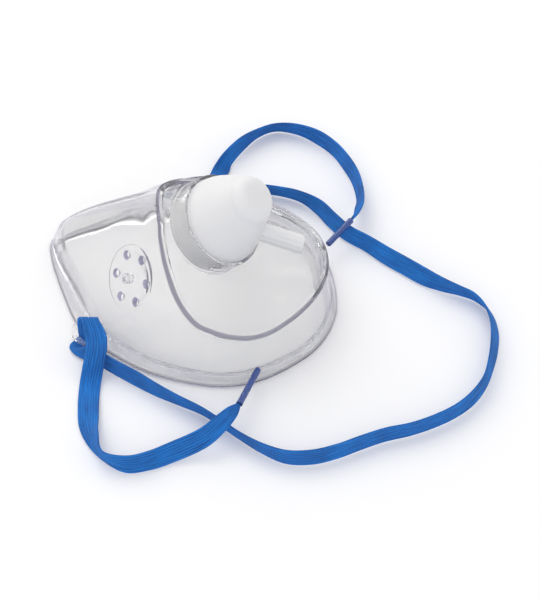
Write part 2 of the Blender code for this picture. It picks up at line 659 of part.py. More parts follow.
def build_tip(name, ends, material):
    """Plastic end tube crimped over the end of the elastic."""
    mouth = Vector(ends[0])
    end = Vector(ends[1])
    length = (end - mouth).length
    axis = (end - mouth).normalized()
    tip = cylinder_between(name, mouth, axis, TIP_RADIUS, 0.0, length, 20)
    tip.name = name
    tip.data.materials.append(material)
    bore = cylinder_between("bore", mouth, axis, TIP_BORE_RADIUS, -1.0, TIP_BORE_DEPTH, 20)
    apply_boolean(tip, bore, "DIFFERENCE")
    return tip


def main():
    clear_scene()
    clear_plastic = make_material("clear_plastic", (0.86, 0.86, 0.90), 0.12, alpha=0.35)
    white_plastic = make_material("white_plastic", (0.86, 0.86, 0.88), 0.35)
    build_shell(clear_plastic)
    build_connector(white_plastic)
    blue_elastic = make_material("blue_elastic", (0.02, 0.12, 0.42), 0.85)
    blue_plastic = make_material("blue_plastic", (0.06, 0.10, 0.36), 0.35)
    build_strap(blue_elastic)
    build_tip("strap_tip_near", TIP_NEAR, blue_plastic)
    build_tip("strap_tip_far", TIP_FAR, blue_plastic)


main()
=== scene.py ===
"""Oxygen face mask: the looks of the clear shell, swivel connector and head strap.

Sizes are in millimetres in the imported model's frame and become metres when a mesh is made.
+Y runs to the nose, -Y to the chin, +X to the far strap tab and +Z up.
"""

import logging
import math
from dataclasses import dataclass
from enum import Enum

import bmesh
import bpy
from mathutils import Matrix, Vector

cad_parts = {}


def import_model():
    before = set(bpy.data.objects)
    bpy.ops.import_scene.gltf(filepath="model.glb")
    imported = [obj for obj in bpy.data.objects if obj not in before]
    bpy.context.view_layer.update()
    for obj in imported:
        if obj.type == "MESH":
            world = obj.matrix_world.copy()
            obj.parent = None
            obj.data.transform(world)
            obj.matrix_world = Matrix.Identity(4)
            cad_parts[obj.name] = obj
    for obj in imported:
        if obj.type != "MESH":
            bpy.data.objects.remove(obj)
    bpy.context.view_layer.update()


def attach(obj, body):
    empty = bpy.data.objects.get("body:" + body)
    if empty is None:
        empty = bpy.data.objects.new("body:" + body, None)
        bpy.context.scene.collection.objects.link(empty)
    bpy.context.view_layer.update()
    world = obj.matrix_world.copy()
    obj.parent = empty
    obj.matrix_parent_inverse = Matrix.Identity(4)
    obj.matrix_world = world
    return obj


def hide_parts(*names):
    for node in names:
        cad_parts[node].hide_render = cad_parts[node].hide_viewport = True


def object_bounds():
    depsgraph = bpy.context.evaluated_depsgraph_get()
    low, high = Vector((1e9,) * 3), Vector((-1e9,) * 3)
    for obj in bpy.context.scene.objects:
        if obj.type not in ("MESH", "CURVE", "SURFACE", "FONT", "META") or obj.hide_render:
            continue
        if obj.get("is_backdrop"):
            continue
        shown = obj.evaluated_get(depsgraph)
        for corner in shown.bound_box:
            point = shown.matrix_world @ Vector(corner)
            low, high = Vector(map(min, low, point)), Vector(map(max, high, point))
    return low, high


log = logging.getLogger("oxygen_mask")

MM = 0.001
X_AXIS = Vector((1.0, 0.0, 0.0))
Z_AXIS = Vector((0.0, 0.0, 1.0))
# an axis with more rise than this counts as upright
UPRIGHT = 0.9
# steps between two given points of an outline
CURVE_STEPS = 24
# how far a cutter reaches past the face that it opens
OVERSHOOT = 1.0
# a noise texture seldom leaves these values
NOISE_LOW = 0.3
NOISE_HIGH = 0.7

Ring = list[Vector]
Shape = tuple[list[Vector], list[tuple[int, ...]]]


class Side(Enum):
    """The two cheeks of the mask, seen from the chin."""

    NEAR = -1.0
    FAR = 1.0


def srgb(code: str, alpha: float = 1.0) -> tuple[float, float, float, float]:
    """Turns an sRGB hex code into linear colour.

    Args:
        code: Colour such as "#1F5FB8".
        alpha: Fourth value of the result.

    Returns:
        Linear red, green and blue with alpha.
    """
    values = []
    for start in (1, 3, 5):
        share = int(code[start:start + 2], 16) / 255.0
        values.append(share / 12.92 if share <= 0.04045 else ((share + 0.055) / 1.055) ** 2.4)
    return (*values, alpha)


def add_node(tree: bpy.types.NodeTree, kind: str, inputs: dict | None = None,
             **settings: object) -> bpy.types.Node:
    """Adds a node with its settings, values and links.

    Args:
        tree: Node tree that takes the node.
        kind: Node type, such as "ShaderNodeTexNoise".
        inputs: Socket name or index to a value, or to an output socket to link.
        settings: Node properties by name.

    Returns:
        The new node.
    """
    node = tree.nodes.new(kind)
    for name, value in settings.items():
        setattr(node, name, value)
    for key, value in (inputs or {}).items():
        if isinstance(value, bpy.types.NodeSocket):
            tree.links.new(value, node.inputs[key])
        else:
            node.inputs[key].default_value = value
    return node


def blank_material(name: str) -> tuple[bpy.types.Material, bpy.types.NodeTree, bpy.types.Node]:
    """Makes an empty node material.

    Args:
        name: Material name.

    Returns:
        The material, its node tree and its output node.
    """
    material = bpy.data.materials.new(name)
    material.use_nodes = True
    material.node_tree.nodes.clear()
    output = material.node_tree.nodes.new("ShaderNodeOutputMaterial")
    return material, material.node_tree, output


def catmull(a: Vector, b: Vector, c: Vector, d: Vector, t: float) -> Vector:
    """Point on the smooth curve between b and c."""
    return 0.5 * ((2.0 * b) + (c - a) * t + (2.0 * a - 5.0 * b + 4.0 * c - d) * t * t
                  + (3.0 * b - a - 3.0 * c + d) * t * t * t)


def eased(share: float) -> float:
    """Share from 0 to 1 with a soft start and a soft end."""
    return share * share * (3.0 - 2.0 * share)


def skin(rings: list[Ring], closed: bool) -> Shape:
    """Joins rings into a tube.

    Args:
        rings: Rings with the same number of points.
        closed: True if the last ring joins the first.

    Returns:
        Points and quads.
    """
    count = len(rings[0])
    points = [point for ring in rings for point in ring]
    faces = []
    for k in range(len(rings) if closed else len(rings) - 1):
        low = k * count
        high = ((k + 1) % len(rings)) * count
        for i in range(count):
            j = (i + 1) % count
            faces.append((low + i, low + j, high + j, high + i))
    return points, faces


def capped(rings: list[Ring]) -> Shape:
    """Joins rings into a tube and closes both its ends.

    Args:
        rings: Rings with the same number of points.

    Returns:
        Points and faces.
    """
    points, faces = skin(rings, False)
    count = len(rings[0])
    faces.append(tuple(range(count)))
    faces.append(tuple(range(len(points) - count, len(points))))
    return points, faces


def rod_parts(centre: Vector, axis: Vector, rows: list[tuple[float, float]], sides: int) -> Shape:
    """Turned rod, closed at both ends.

    Args:
        centre: Zero point on the axis.
        axis: Direction of the rod.
        rows: Distance along the axis and radius of each ring.
        sides: Points in a ring.

    Returns:
        Points and faces.
    """
    axis = axis.normalized()
    helper = Z_AXIS if abs(axis.z) < UPRIGHT else X_AXIS
    right = axis.cross(helper).normalized()
    up = right.cross(axis).normalized()
    turns = [2.0 * math.pi * (k + 0.5) / sides for k in range(sides)]
    return capped([[centre + axis * distance + (right * math.cos(t) + up * math.sin(t)) * radius
                    for t in turns] for distance, radius in rows])


def make_piece(name: str, points: list[Vector], faces: list[tuple[int, ...]]) -> bpy.types.Object:
    """Makes a mesh object from millimetre points, its faces turned outward.

    Args:
        name: Object name.
        points: Points in millimetres.
        faces: Corner numbers of each face.

    Returns:
        The linked object.
    """
    mesh = bpy.data.meshes.new(name)
    mesh.from_pydata([tuple(point * MM) for point in points], [], faces)
    work = bmesh.new()
    work.from_mesh(mesh)
    bmesh.ops.recalc_face_normals(work, faces=work.faces)
    if work.calc_volume(signed=True) < 0.0:
        bmesh.ops.reverse_faces(work, faces=work.faces)
    work.to_mesh(mesh)
    work.free()
    piece = bpy.data.objects.new(name, mesh)
    bpy.context.collection.objects.link(piece)
    return piece


def merged(name: str, parts: list[Shape]) -> bpy.types.Object:
    """Joins separate closed shapes into one mesh object, such as a set of drills.

    Args:
        name: Object name.
        parts: Points and faces of each shape.

    Returns:
        The linked object.
    """
    points: list[Vector] = []
    faces: list[tuple[int, ...]] = []
    for part_points, part_faces in parts:
        start = len(points)
        points += part_points
        faces += [tuple(start + i for i in face) for face in part_faces]
    return make_piece(name, points, faces)


def carve(target: bpy.types.Object, tool: bpy.types.Object, operation: str) -> None:
    """Adds or cuts a tool shape and removes the tool.

    Args:
        target: Object that changes.
        tool: Object that is used up. Faces that it leaves keep its material.
        operation: "UNION" or "DIFFERENCE".
    """
    modifier = target.modifiers.new(operation.lower(), "BOOLEAN")
    modifier.operation = operation
    modifier.solver = "EXACT"
    modifier.material_mode = "TRANSFER"
    modifier.object = tool
    bpy.context.view_layer.objects.active = target
    bpy.ops.object.modifier_apply(modifier=modifier.name)
    bpy.data.objects.remove(tool, do_unlink=True)


def smooth(piece: bpy.types.Object, angle_deg: float) -> None:
    """Shades a mesh smooth except at edges sharper than an angle."""
    piece.data.shade_smooth()
    piece.data.set_sharp_from_angle(angle=math.radians(angle_deg))


def dress(piece: bpy.types.Object, material: bpy.types.Material, slot: str, body: str,
          *nodes: str) -> None:
    """Gives a piece its finish and its place in the frame.

    Args:
        piece: New piece.
        material: Its finish, unless its faces have theirs.
        slot: Material slot of the record; not used.
        body: CAD body it rides on.
        nodes: CAD nodes it stands for.
    """
    if not any(piece.data.materials):
        piece.data.materials.clear()
        piece.data.materials.append(material)
    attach(piece, body)
    if nodes:
        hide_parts(*nodes)
    log.info("%s: %d faces on body %s", piece.name, len(piece.data.polygons), body)


@dataclass(frozen=True)
class ClearVinyl:
    """Clear plasticised PVC, injection moulded in a polished tool.

    The eye sees a glossy, faintly wavy skin and a violet-grey tint that deepens
    where light runs a long way inside the wall, at the rim and the bead.
    """

    name: str = "clear_vinyl"
    skin_tint: str = "#F4F4F3"
    # painted light: the tint pales near the table, lifting the shade that the flange band gets from the
    # floor beneath it
    flange_painted_light: str = "#FAFAFA"
    flange_mm: float = 1.6
    flange_fade_mm: float = 6.4
    # light that grazes the skin runs far through the tinted wall
    edge_tint: str = "#B8B5D8"
    edge_blend: float = 0.5
    edge_power: float = 4.0
    depth_tint: str = "#B4B2D0"
    absorb_per_m: float = 12.0
    # below the usual 1.53, for the soft and pale edges of so thin a wall
    ior: float = 1.25
    clearness: float = 0.92
    roughness_low: float = 0.04
    roughness_high: float = 0.10
    haze_mm: float = 3.0
    wave_mm: float = 9.0
    wave_depth_mm: float = 0.05
    wave_strength: float = 0.5
    # what a lamp's light keeps on its way through the wall
    shadow_tint: str = "#BEBEC1"

    def material(self) -> bpy.types.Material:
        """Builds the material.

        Returns:
            Glossy clear vinyl with a tinted edge and depth.
        """
        material, tree, output = blank_material(self.name)
        place = add_node(tree, "ShaderNodeTexCoord")
        wave = add_node(tree, "ShaderNodeTexNoise", {
            "Vector": place.outputs["Object"], "Scale": 1.0 / (self.wave_mm * MM), "Detail": 2.0})
        haze = add_node(tree, "ShaderNodeTexNoise", {
            "Vector": place.outputs["Object"], "Scale": 1.0 / (self.haze_mm * MM), "Detail": 4.0})
        rough = add_node(tree, "ShaderNodeMapRange", {
            "Value": haze.outputs["Fac"], "From Min": NOISE_LOW, "From Max": NOISE_HIGH,
            "To Min": self.roughness_low, "To Max": self.roughness_high})
        bump = add_node(tree, "ShaderNodeBump", {
            "Height": wave.outputs["Fac"], "Strength": self.wave_strength,
            "Distance": self.wave_depth_mm * MM})
        graze = add_node(tree, "ShaderNodeLayerWeight", {"Blend": self.edge_blend})
        edge = add_node(tree, "ShaderNodeMath", {
            0: graze.outputs["Facing"], 1: self.edge_power}, operation="POWER")
        level = add_node(tree, "ShaderNodeSeparateXYZ", {"Vector": place.outputs["Object"]})
        # painted light: the skin's tint pales towards the table, over the flange
        rise = add_node(tree, "ShaderNodeMapRange", {
            "Value": level.outputs["Z"], "From Min": self.flange_mm * MM,
            "From Max": self.flange_fade_mm * MM})
        skin_colour = add_node(tree, "ShaderNodeMix", {
            "Factor": rise.outputs["Result"], "A": srgb(self.flange_painted_light),
            "B": srgb(self.skin_tint)}, data_type="RGBA")
        tint = add_node(tree, "ShaderNodeMix", {
            "Factor": edge.outputs[0], "A": skin_colour.outputs["Result"],
            "B": srgb(self.edge_tint)}, data_type="RGBA")
        body = add_node(tree, "ShaderNodeBsdfPrincipled", {
            "Base Color": tint.outputs["Result"], "Roughness": rough.outputs["Result"],
            "IOR": self.ior, "Transmission Weight": self.clearness, "Normal": bump.outputs["Normal"]})
        lamp_path = add_node(tree, "ShaderNodeLightPath")
        passing = add_node(tree, "ShaderNodeBsdfTransparent", {"Color": srgb(self.shadow_tint)})
        both = add_node(tree, "ShaderNodeMixShader", {
            0: lamp_path.outputs["Is Shadow Ray"], 1: body.outputs["BSDF"], 2: passing.outputs["BSDF"]})
        depth = add_node(tree, "ShaderNodeVolumeAbsorption", {
            "Color": srgb(self.depth_tint), "Density": self.absorb_per_m})
        tree.links.new(both.outputs["Shader"], output.inputs["Surface"])
        tree.links.new(depth.outputs["Volume"], output.inputs["Volume"])
        return material


@dataclass(frozen=True)
class HoleVinyl:
    """The same PVC on the walls of the vent holes, moulded round matt core pins.

    Such a wall is rough, with a fine grain. Its dull violet-grey colour is painted
    shade, for the dark inside of each hole.
    """

    # painted shade: the violet-grey of the dark inside of each hole
    colour: str = "#B4B2CC"
    ior: float = 1.53
    roughness: float = 0.55
    see_through: float = 0.4
    grain_mm: float = 0.4
    grain_depth_mm: float = 0.02
    grain_strength: float = 0.5

    def material(self) -> bpy.types.Material:
        """Builds the material.

        Returns:
            Dull vinyl with a fine grain.
        """
        material, tree, output = blank_material("hole_vinyl")
        place = add_node(tree, "ShaderNodeTexCoord")
        grain = add_node(tree, "ShaderNodeTexNoise", {
            "Vector": place.outputs["Object"], "Scale": 1.0 / (self.grain_mm * MM), "Detail": 3.0})
        bump = add_node(tree, "ShaderNodeBump", {
            "Height": grain.outputs["Fac"], "Strength": self.grain_strength,
            "Distance": self.grain_depth_mm * MM})
        body = add_node(tree, "ShaderNodeBsdfPrincipled", {
            "Base Color": srgb(self.colour), "Roughness": self.roughness, "IOR": self.ior,
            "Transmission Weight": self.see_through, "Normal": bump.outputs["Normal"]})
        tree.links.new(body.outputs["BSDF"], output.inputs["Surface"])
        return material


@dataclass(frozen=True)
class WhitePolyethylene:
    """White polyethylene, injection moulded with a satin skin.

    The eye sees soft, milky shading that light enters a little way, a faint
    orange-peel from the tool and a broad highlight.
    """

    colour: str = "#F2F2F4"
    ior: float = 1.51
    roughness_low: float = 0.45
    roughness_high: float = 0.58
    milk: float = 0.35
    milk_depth_mm: float = 3.0
    see_through: float = 0.05
    cloud_mm: float = 8.4
    peel_mm: float = 0.7
    peel_depth_mm: float = 0.012
    peel_strength: float = 0.4

    def material(self) -> bpy.types.Material:
        """Builds the material.

        Returns:
            Milky white plastic with a satin skin.
        """
        material, tree, output = blank_material("white_polyethylene")
        place = add_node(tree, "ShaderNodeTexCoord")
        peel = add_node(tree, "ShaderNodeTexNoise", {
            "Vector": place.outputs["Object"], "Scale": 1.0 / (self.peel_mm * MM), "Detail": 2.0})
        cloud = add_node(tree, "ShaderNodeTexNoise", {
            "Vector": place.outputs["Object"], "Scale": 1.0 / (self.cloud_mm * MM), "Detail": 3.0})
        rough = add_node(tree, "ShaderNodeMapRange", {
            "Value": cloud.outputs["Fac"], "From Min": NOISE_LOW, "From Max": NOISE_HIGH,
            "To Min": self.roughness_low, "To Max": self.roughness_high})
        bump = add_node(tree, "ShaderNodeBump", {
            "Height": peel.outputs["Fac"], "Strength": self.peel_strength,
            "Distance": self.peel_depth_mm * MM})
        body = add_node(tree, "ShaderNodeBsdfPrincipled", {
            "Base Color": srgb(self.colour), "Roughness": rough.outputs["Result"], "IOR": self.ior,
            "Transmission Weight": self.see_through, "Subsurface Weight": self.milk,
            "Subsurface Radius": (1.0, 1.0, 1.0), "Subsurface Scale": self.milk_depth_mm * MM,
            "Normal": bump.outputs["Normal"]})
        tree.links.new(body.outputs["BSDF"], output.inputs["Surface"])
        return material


@dataclass(frozen=True)
class WovenElastic:
    """Polyester and rubber flat elastic, braided with lengthwise ribs.

    The eye sees matt royal blue, one soft ridge for each rubber thread and the
    slanting stitches of the covering yarn. The grooves between the ridges are darker
    by painted shade. The stitches are drawn a little coarser than real ones, so that they show.
    """

    ridge_colour: str = "#1181DE"
    # painted shade: the darker colour fills the grooves between the ribs, and also the darker streaks of
    # yarn
    groove_shade_and_dark_streak_colour: str = "#064A92"
    rib_pitch_mm: float = 0.95
    stitch_pitch_mm: float = 1.3
    stitch_lean_mm: float = 0.6
    stitch_share: float = 0.08
    relief_mm: float = 0.10
    relief_strength: float = 0.8
    patch_mm: float = 11.0
    streak_width_mm: float = 0.5
    streak_length_mm: float = 10.0
    streak_weight: float = 1.7
    # painted shade: how much the ribs' relief darkens the grooves in the colour
    relief_shade_weight: float = 0.4
    shade_low: float = 1.1
    shade_high: float = 2.1
    ior: float = 1.5
    roughness: float = 0.8
    fuzz: float = 0.05
    fuzz_roughness: float = 0.5

    def material(self) -> bpy.types.Material:
        """Builds the material. Its pattern follows the map "lay", in millimetres along and across.

        Returns:
            Matt ribbed cloth.
        """
        material, tree, output = blank_material("woven_elastic")
        lay = add_node(tree, "ShaderNodeUVMap", uv_map="lay")
        split = add_node(tree, "ShaderNodeSeparateXYZ", {"Vector": lay.outputs["UV"]})
        rib_turn = add_node(tree, "ShaderNodeMath", {
            0: split.outputs["Y"], 1: math.pi / self.rib_pitch_mm}, operation="MULTIPLY")
        rib_sine = add_node(tree, "ShaderNodeMath", {0: rib_turn.outputs[0]}, operation="SINE")
        rib = add_node(tree, "ShaderNodeMath", {0: rib_sine.outputs[0]}, operation="ABSOLUTE")
        # the covering yarn leans over each rib, so its stitches slant
        lean = add_node(tree, "ShaderNodeMath", {
            0: rib.outputs[0], 1: self.stitch_lean_mm, 2: split.outputs["X"]},
            operation="MULTIPLY_ADD")
        stitch_turn = add_node(tree, "ShaderNodeMath", {
            0: lean.outputs[0], 1: 2.0 * math.pi / self.stitch_pitch_mm}, operation="MULTIPLY")
        stitch = add_node(tree, "ShaderNodeMath", {0: stitch_turn.outputs[0]}, operation="SINE")
        # drawn yarns run lengthwise, each rib a little lighter or darker for some centimetres
        drawn_out = add_node(tree, "ShaderNodeVectorMath", {
            0: lay.outputs["UV"], 1: (1.0 / self.streak_length_mm, 1.0 / self.streak_width_mm, 1.0)},
            operation="MULTIPLY")
        streak = add_node(tree, "ShaderNodeTexNoise", {
            "Vector": drawn_out.outputs["Vector"], "Scale": 1.0, "Detail": 3.0})
        patch = add_node(tree, "ShaderNodeTexNoise", {
            "Vector": lay.outputs["UV"], "Scale": 1.0 / self.patch_mm, "Detail": 3.0})
        relief = add_node(tree, "ShaderNodeMath", {
            0: stitch.outputs[0], 1: self.stitch_share, 2: rib.outputs[0]},
            operation="MULTIPLY_ADD")
        tone = add_node(tree, "ShaderNodeMath", {
            0: streak.outputs["Fac"], 1: self.streak_weight, 2: patch.outputs["Fac"]},
            operation="MULTIPLY_ADD")
        shade = add_node(tree, "ShaderNodeMath", {
            0: relief.outputs[0], 1: self.relief_shade_weight, 2: tone.outputs[0]},
            operation="MULTIPLY_ADD")
        share = add_node(tree, "ShaderNodeMapRange", {
            "Value": shade.outputs[0], "From Min": self.shade_low, "From Max": self.shade_high,
            "To Min": 0.0, "To Max": 1.0})
        # painted shade: the grooves take the darker colour; the streaks and patches are the yarn's own
        # tone
        colour = add_node(tree, "ShaderNodeMix", {
            "Factor": share.outputs["Result"], "A": srgb(self.groove_shade_and_dark_streak_colour),
            "B": srgb(self.ridge_colour)}, data_type="RGBA")
        bump = add_node(tree, "ShaderNodeBump", {
            "Height": relief.outputs[0], "Strength": self.relief_strength,
            "Distance": self.relief_mm * MM})
        body = add_node(tree, "ShaderNodeBsdfPrincipled", {
            "Base Color": colour.outputs["Result"], "Roughness": self.roughness, "IOR": self.ior,
            "Sheen Weight": self.fuzz, "Sheen Roughness": self.fuzz_roughness,
            "Normal": bump.outputs["Normal"]})
        tree.links.new(body.outputs["BSDF"], output.inputs["Surface"])
        return material


@dataclass(frozen=True)
class TipVinyl:
    """Dyed PVC sleeve, extruded and crimped hot over the end of the elastic.

    The eye sees a glossy violet-blue skin with faint draw lines.
    """

    colour: str = "#32539F"
    deep_colour: str = "#213F86"
    ior: float = 1.53
    roughness: float = 0.25
    gloss: float = 0.3
    gloss_roughness: float = 0.12
    line_mm: float = 0.5
    line_depth_mm: float = 0.02
    line_strength: float = 0.4

    def material(self) -> bpy.types.Material:
        """Builds the material.

        Returns:
            Glossy dyed vinyl.
        """
        material, tree, output = blank_material("tip_vinyl")
        place = add_node(tree, "ShaderNodeTexCoord")
        lines = add_node(tree, "ShaderNodeTexNoise", {
            "Vector": place.outputs["Object"], "Scale": 1.0 / (self.line_mm * MM), "Detail": 2.0})
        colour = add_node(tree, "ShaderNodeMix", {
            "Factor": lines.outputs["Fac"], "A": srgb(self.deep_colour), "B": srgb(self.colour)},
            data_type="RGBA")
        bump = add_node(tree, "ShaderNodeBump", {
            "Height": lines.outputs["Fac"], "Strength": self.line_strength,
            "Distance": self.line_depth_mm * MM})
        body = add_node(tree, "ShaderNodeBsdfPrincipled", {
            "Base Color": colour.outputs["Result"], "Roughness": self.roughness, "IOR": self.ior,
            "Coat Weight": self.gloss, "Coat Roughness": self.gloss_roughness,
            "Normal": bump.outputs["Normal"]})
        tree.links.new(body.outputs["BSDF"], output.inputs["Surface"])
        return material


@dataclass
class Turret:
    """The axis that the collar and the connector share."""

    base: Vector
    rise_deg: float = 45.0

    def __post_init__(self) -> None:
        """Works out the axis and the direction down the face."""
        rise = math.radians(self.rise_deg)
        self.axis = Vector((0.0, -math.cos(rise), math.sin(rise)))
        self.down = Vector((0.0, -math.sin(rise), -math.cos(rise)))

    def point(self, along: float, across: float, height: float) -> Vector:
        """Point from its distances down the face, across it and along the axis."""
        return self.base + self.down * along + X_AXIS * across + self.axis * height

    def circle_facing(self, ring: Ring, radius: float, height: float) -> Ring:
        """Circle round the axis whose points face those of a ring.

        Args:
            ring: Ring that it will be joined to.
            radius: Radius of the circle.
            height: Distance along the axis.

        Returns:
            As many points as the ring has.
        """
        circle = []
        for point in ring:
            offset = point - self.base
            turn = math.atan2(offset.dot(X_AXIS), offset.dot(self.down))
            circle.append(self.point(radius * math.cos(turn), radius * math.sin(turn), height))
        return circle


# the axis leaves the front face here, and the collar stands this high above it
TURRET = Turret(Vector((0.0, -8.4, 34.3)))
COLLAR_HEIGHT = 9.5


def mirrored(point: Vector) -> Vector:
    """The same point on the other cheek."""
    return Vector((-point.x, point.y, point.z))


def half_curve(points: list[tuple[float, ...]], count: int) -> Ring:
    """Evenly spaced points on the smooth half outline, nose to chin, on the near side.

    Args:
        points: Half outline on the far side, nose first.
        count: Number of steps.

    Returns:
        The near half, ends included.
    """
    given = [Vector((-p[0], p[1], p[2] if len(p) > 2 else 0.0)) for p in points]
    chain = [mirrored(given[1])] + given + [mirrored(given[-2])]
    dense = []
    for i in range(1, len(chain) - 2):
        dense += [catmull(*chain[i - 1:i + 3], k / CURVE_STEPS) for k in range(CURVE_STEPS)]
    dense.append(given[-1])
    lengths = [0.0]
    for a, b in zip(dense, dense[1:]):
        lengths.append(lengths[-1] + (b - a).length)
    result = []
    j = 0
    for k in range(count + 1):
        want = lengths[-1] * k / count
        while j < len(lengths) - 2 and lengths[j + 1] < want:
            j += 1
        span = lengths[j + 1] - lengths[j]
        share = 0.0 if span == 0.0 else (want - lengths[j]) / span
        result.append(dense[j].lerp(dense[j + 1], min(1.0, max(0.0, share))))
    return result


def full_ring(half: Ring) -> Ring:
    """Closed ring: nose, near side, chin, far side."""
    return list(half) + [mirrored(p) for p in reversed(half[1:-1])]


def ring_tangents(ring: Ring) -> Ring:
    """Unit direction along a ring at each point."""
    return [(ring[(i + 1) % len(ring)] - ring[i - 1]).normalized() for i in range(len(ring))]


def at_height(ring: Ring, z: float) -> Ring:
    """The ring laid flat at a height."""
    return [Vector((p.x, p.y, z)) for p in ring]


def finer(rings: list[Ring], steps: int) -> list[Ring]:
    """Adds smooth rings between rings.

    Args:
        rings: Neighbouring rings of one smooth surface.
        steps: Parts that each gap is cut into.

    Returns:
        The rings with the added ones.
    """
    chain = [rings[0]] + rings + [rings[-1]]
    result = []
    for k in range(1, len(chain) - 2):
        for s in range(steps):
            t = s / steps
            result.append([catmull(a, b, c, d, t) for a, b, c, d in zip(*chain[k - 1:k + 3])])
    result.append(rings[-1])
    return result


@dataclass
class VentPanel:
    """Round panel moulded into a cheek, with its ring of holes and centre post."""

    side: Side
    centre: Vector
    normal: Vector
    radius: float = 12.0
    plate: float = 1.4
    step: float = 0.16
    groove: float = 0.15
    groove_depth: float = 0.12
    swell: float = 2.5
    swell_power: int = 3
    hole_radius: float = 1.65
    hole_back_radius: float = 1.05
    hole_circle: float = 8.6
    hole_count: int = 6
    hole_turn_deg: float = 5.0
    lead_in: float = 0.12
    lead_depth: float = 0.1
    draft_from: float = -1.0
    drill_from: float = -6.0
    clearance: float = 4.0
    post_radius: float = 1.8
    post_height: float = 2.9
    sides: int = 96
    post_sides: int = 40
    hole_sides: int = 32

    # shares of the radius at which the swollen back has a ring
    BACK = (0.2, 0.4, 0.55, 0.7, 0.78, 0.85, 0.91, 0.96)
    # domed head of the post: drop below its top, step in from its radius
    HEAD = ((0.5, 0.0), (0.15, 0.15), (0.0, 0.6))

    def __post_init__(self) -> None:
        """Mirrors the panel to its cheek."""
        if self.side is Side.FAR:
            self.centre = mirrored(self.centre)
            self.normal = mirrored(self.normal)

    def face_height(self) -> float:
        """Height of the disc's outer face above its centre."""
        return self.plate * 0.5

    def skin_height(self, offset: Vector) -> float:
        """Height of the cheek near the panel: flush toward the chin, a fine step toward the nose."""
        return self.face_height() + self.step * (1.0 + offset.y / self.radius)

    def cup(self) -> Shape:
        """Disc that the holes go through, its back swollen like a lens.

        Returns:
            Points and faces.
        """
        high = self.face_height()
        rows = [(high - self.swell * (1.0 - share ** self.swell_power), self.radius * share)
                for share in self.BACK]
        return rod_parts(self.centre, self.normal, rows + [(high, self.radius)], self.sides)

    def recess(self) -> Shape:
        """Space above the disc, which lies a little below the skin.

        Returns:
            Points and faces.
        """
        high = self.face_height()
        rows = [(high, self.radius - self.groove), (high + self.groove_depth, self.radius),
                (high + self.clearance, self.radius)]
        return rod_parts(self.centre, self.normal, rows, self.sides)

    def post(self) -> Shape:
        """Centre post with a domed head.

        Returns:
            Points and faces.
        """
        top = self.face_height() + self.post_height
        rows = [(0.0, self.post_radius)]
        rows += [(top - drop, self.post_radius - pull) for drop, pull in self.HEAD]
        return rod_parts(self.centre, self.normal, rows, self.post_sides)

    def drills(self) -> list[Shape]:
        """Cutters of the vent holes, with the moulding's draft and a small lead-in at the outer face.

        Returns:
            Points and faces of each cutter.
        """
        level = Z_AXIS.cross(self.normal).normalized()
        slope = self.normal.cross(level).normalized()
        face = self.face_height()
        mouth = self.hole_radius + self.lead_in
        rows = [(self.drill_from, self.hole_back_radius), (self.draft_from, self.hole_back_radius),
                (face - self.lead_depth, self.hole_radius), (face + 0.5 * self.lead_depth, mouth),
                (face + self.clearance, mouth)]
        drills = []
        for k in range(self.hole_count):
            turn = 2.0 * math.pi * k / self.hole_count + math.radians(self.hole_turn_deg)
            place = self.centre + (slope * math.cos(turn) + level * math.sin(turn)) * self.hole_circle
            drills.append(rod_parts(place, self.normal, rows, self.hole_sides))
        return drills


@dataclass
class StrapTab:
    """Flat ear at the cheek with the slot that the elastic goes through."""

    side: Side
    bottom: float = 1.3
    top: float = 2.6
    edge_round: float = 0.35
    outline_steps: int = 6
    slot_centre: tuple[float, float] = (-39.1, 21.4)
    slot_length: float = 9.0
    slot_width: float = 2.2
    slot_angle_deg: float = 72.0
    slot_arc_steps: int = 12
    slot_reach: tuple[float, float] = (-1.0, 3.0)

    OUTLINE = ((-36.0, 14.0), (-40.0, 14.8), (-41.7, 18.0), (-42.1, 21.4), (-41.4, 24.4),
               (-39.8, 26.6), (-37.4, 27.9), (-34.8, 28.2), (-32.0, 27.0), (-31.0, 20.0))
    # rounded edge: height from a face and pull inward, in shares of the round
    EDGE = ((0.0, 1.0), (0.3, 0.3), (1.0, 0.0))

    def plate(self) -> Shape:
        """The ear, its free edge rounded.

        Returns:
            Points and faces.
        """
        corners = [Vector((x, y, 0.0)) for x, y in self.OUTLINE]
        chain = [corners[-1]] + corners + corners[:2]
        outline = []
        for k in range(1, len(chain) - 2):
            outline += [catmull(*chain[k - 1:k + 3], s / self.outline_steps)
                        for s in range(self.outline_steps)]
        middle = sum(outline, Vector()) / len(outline)
        r = self.edge_round
        levels = [(self.bottom + rise * r, pull * r) for rise, pull in self.EDGE]
        levels += [(self.top - rise * r, pull * r) for rise, pull in reversed(self.EDGE)]
        return capped([[self.placed(p + (middle - p).normalized() * pull, z) for p in outline]
                       for z, pull in levels])

    def slot(self) -> Shape:
        """Long round-ended cutter.

        Returns:
            Points and faces.
        """
        angle = math.radians(self.slot_angle_deg)
        along = Vector((math.cos(angle), math.sin(angle), 0.0))
        across = Vector((-along.y, along.x, 0.0))
        radius = self.slot_width / 2.0
        straight = (self.slot_length - self.slot_width) / 2.0
        outline = []
        for end, start in ((1.0, -90.0), (-1.0, 90.0)):
            for k in range(self.slot_arc_steps + 1):
                turn = math.radians(start + 180.0 * k / self.slot_arc_steps)
                outline.append(Vector((*self.slot_centre, 0.0))
                               + along * (end * straight + math.cos(turn) * radius)
                               + across * (math.sin(turn) * radius))
        return capped([[self.placed(p, z) for p in outline] for z in self.slot_reach])

    def placed(self, point: Vector, z: float) -> Vector:
        """The point on this tab's cheek at a height."""
        return Vector((-self.side.value * point.x, point.y, z))


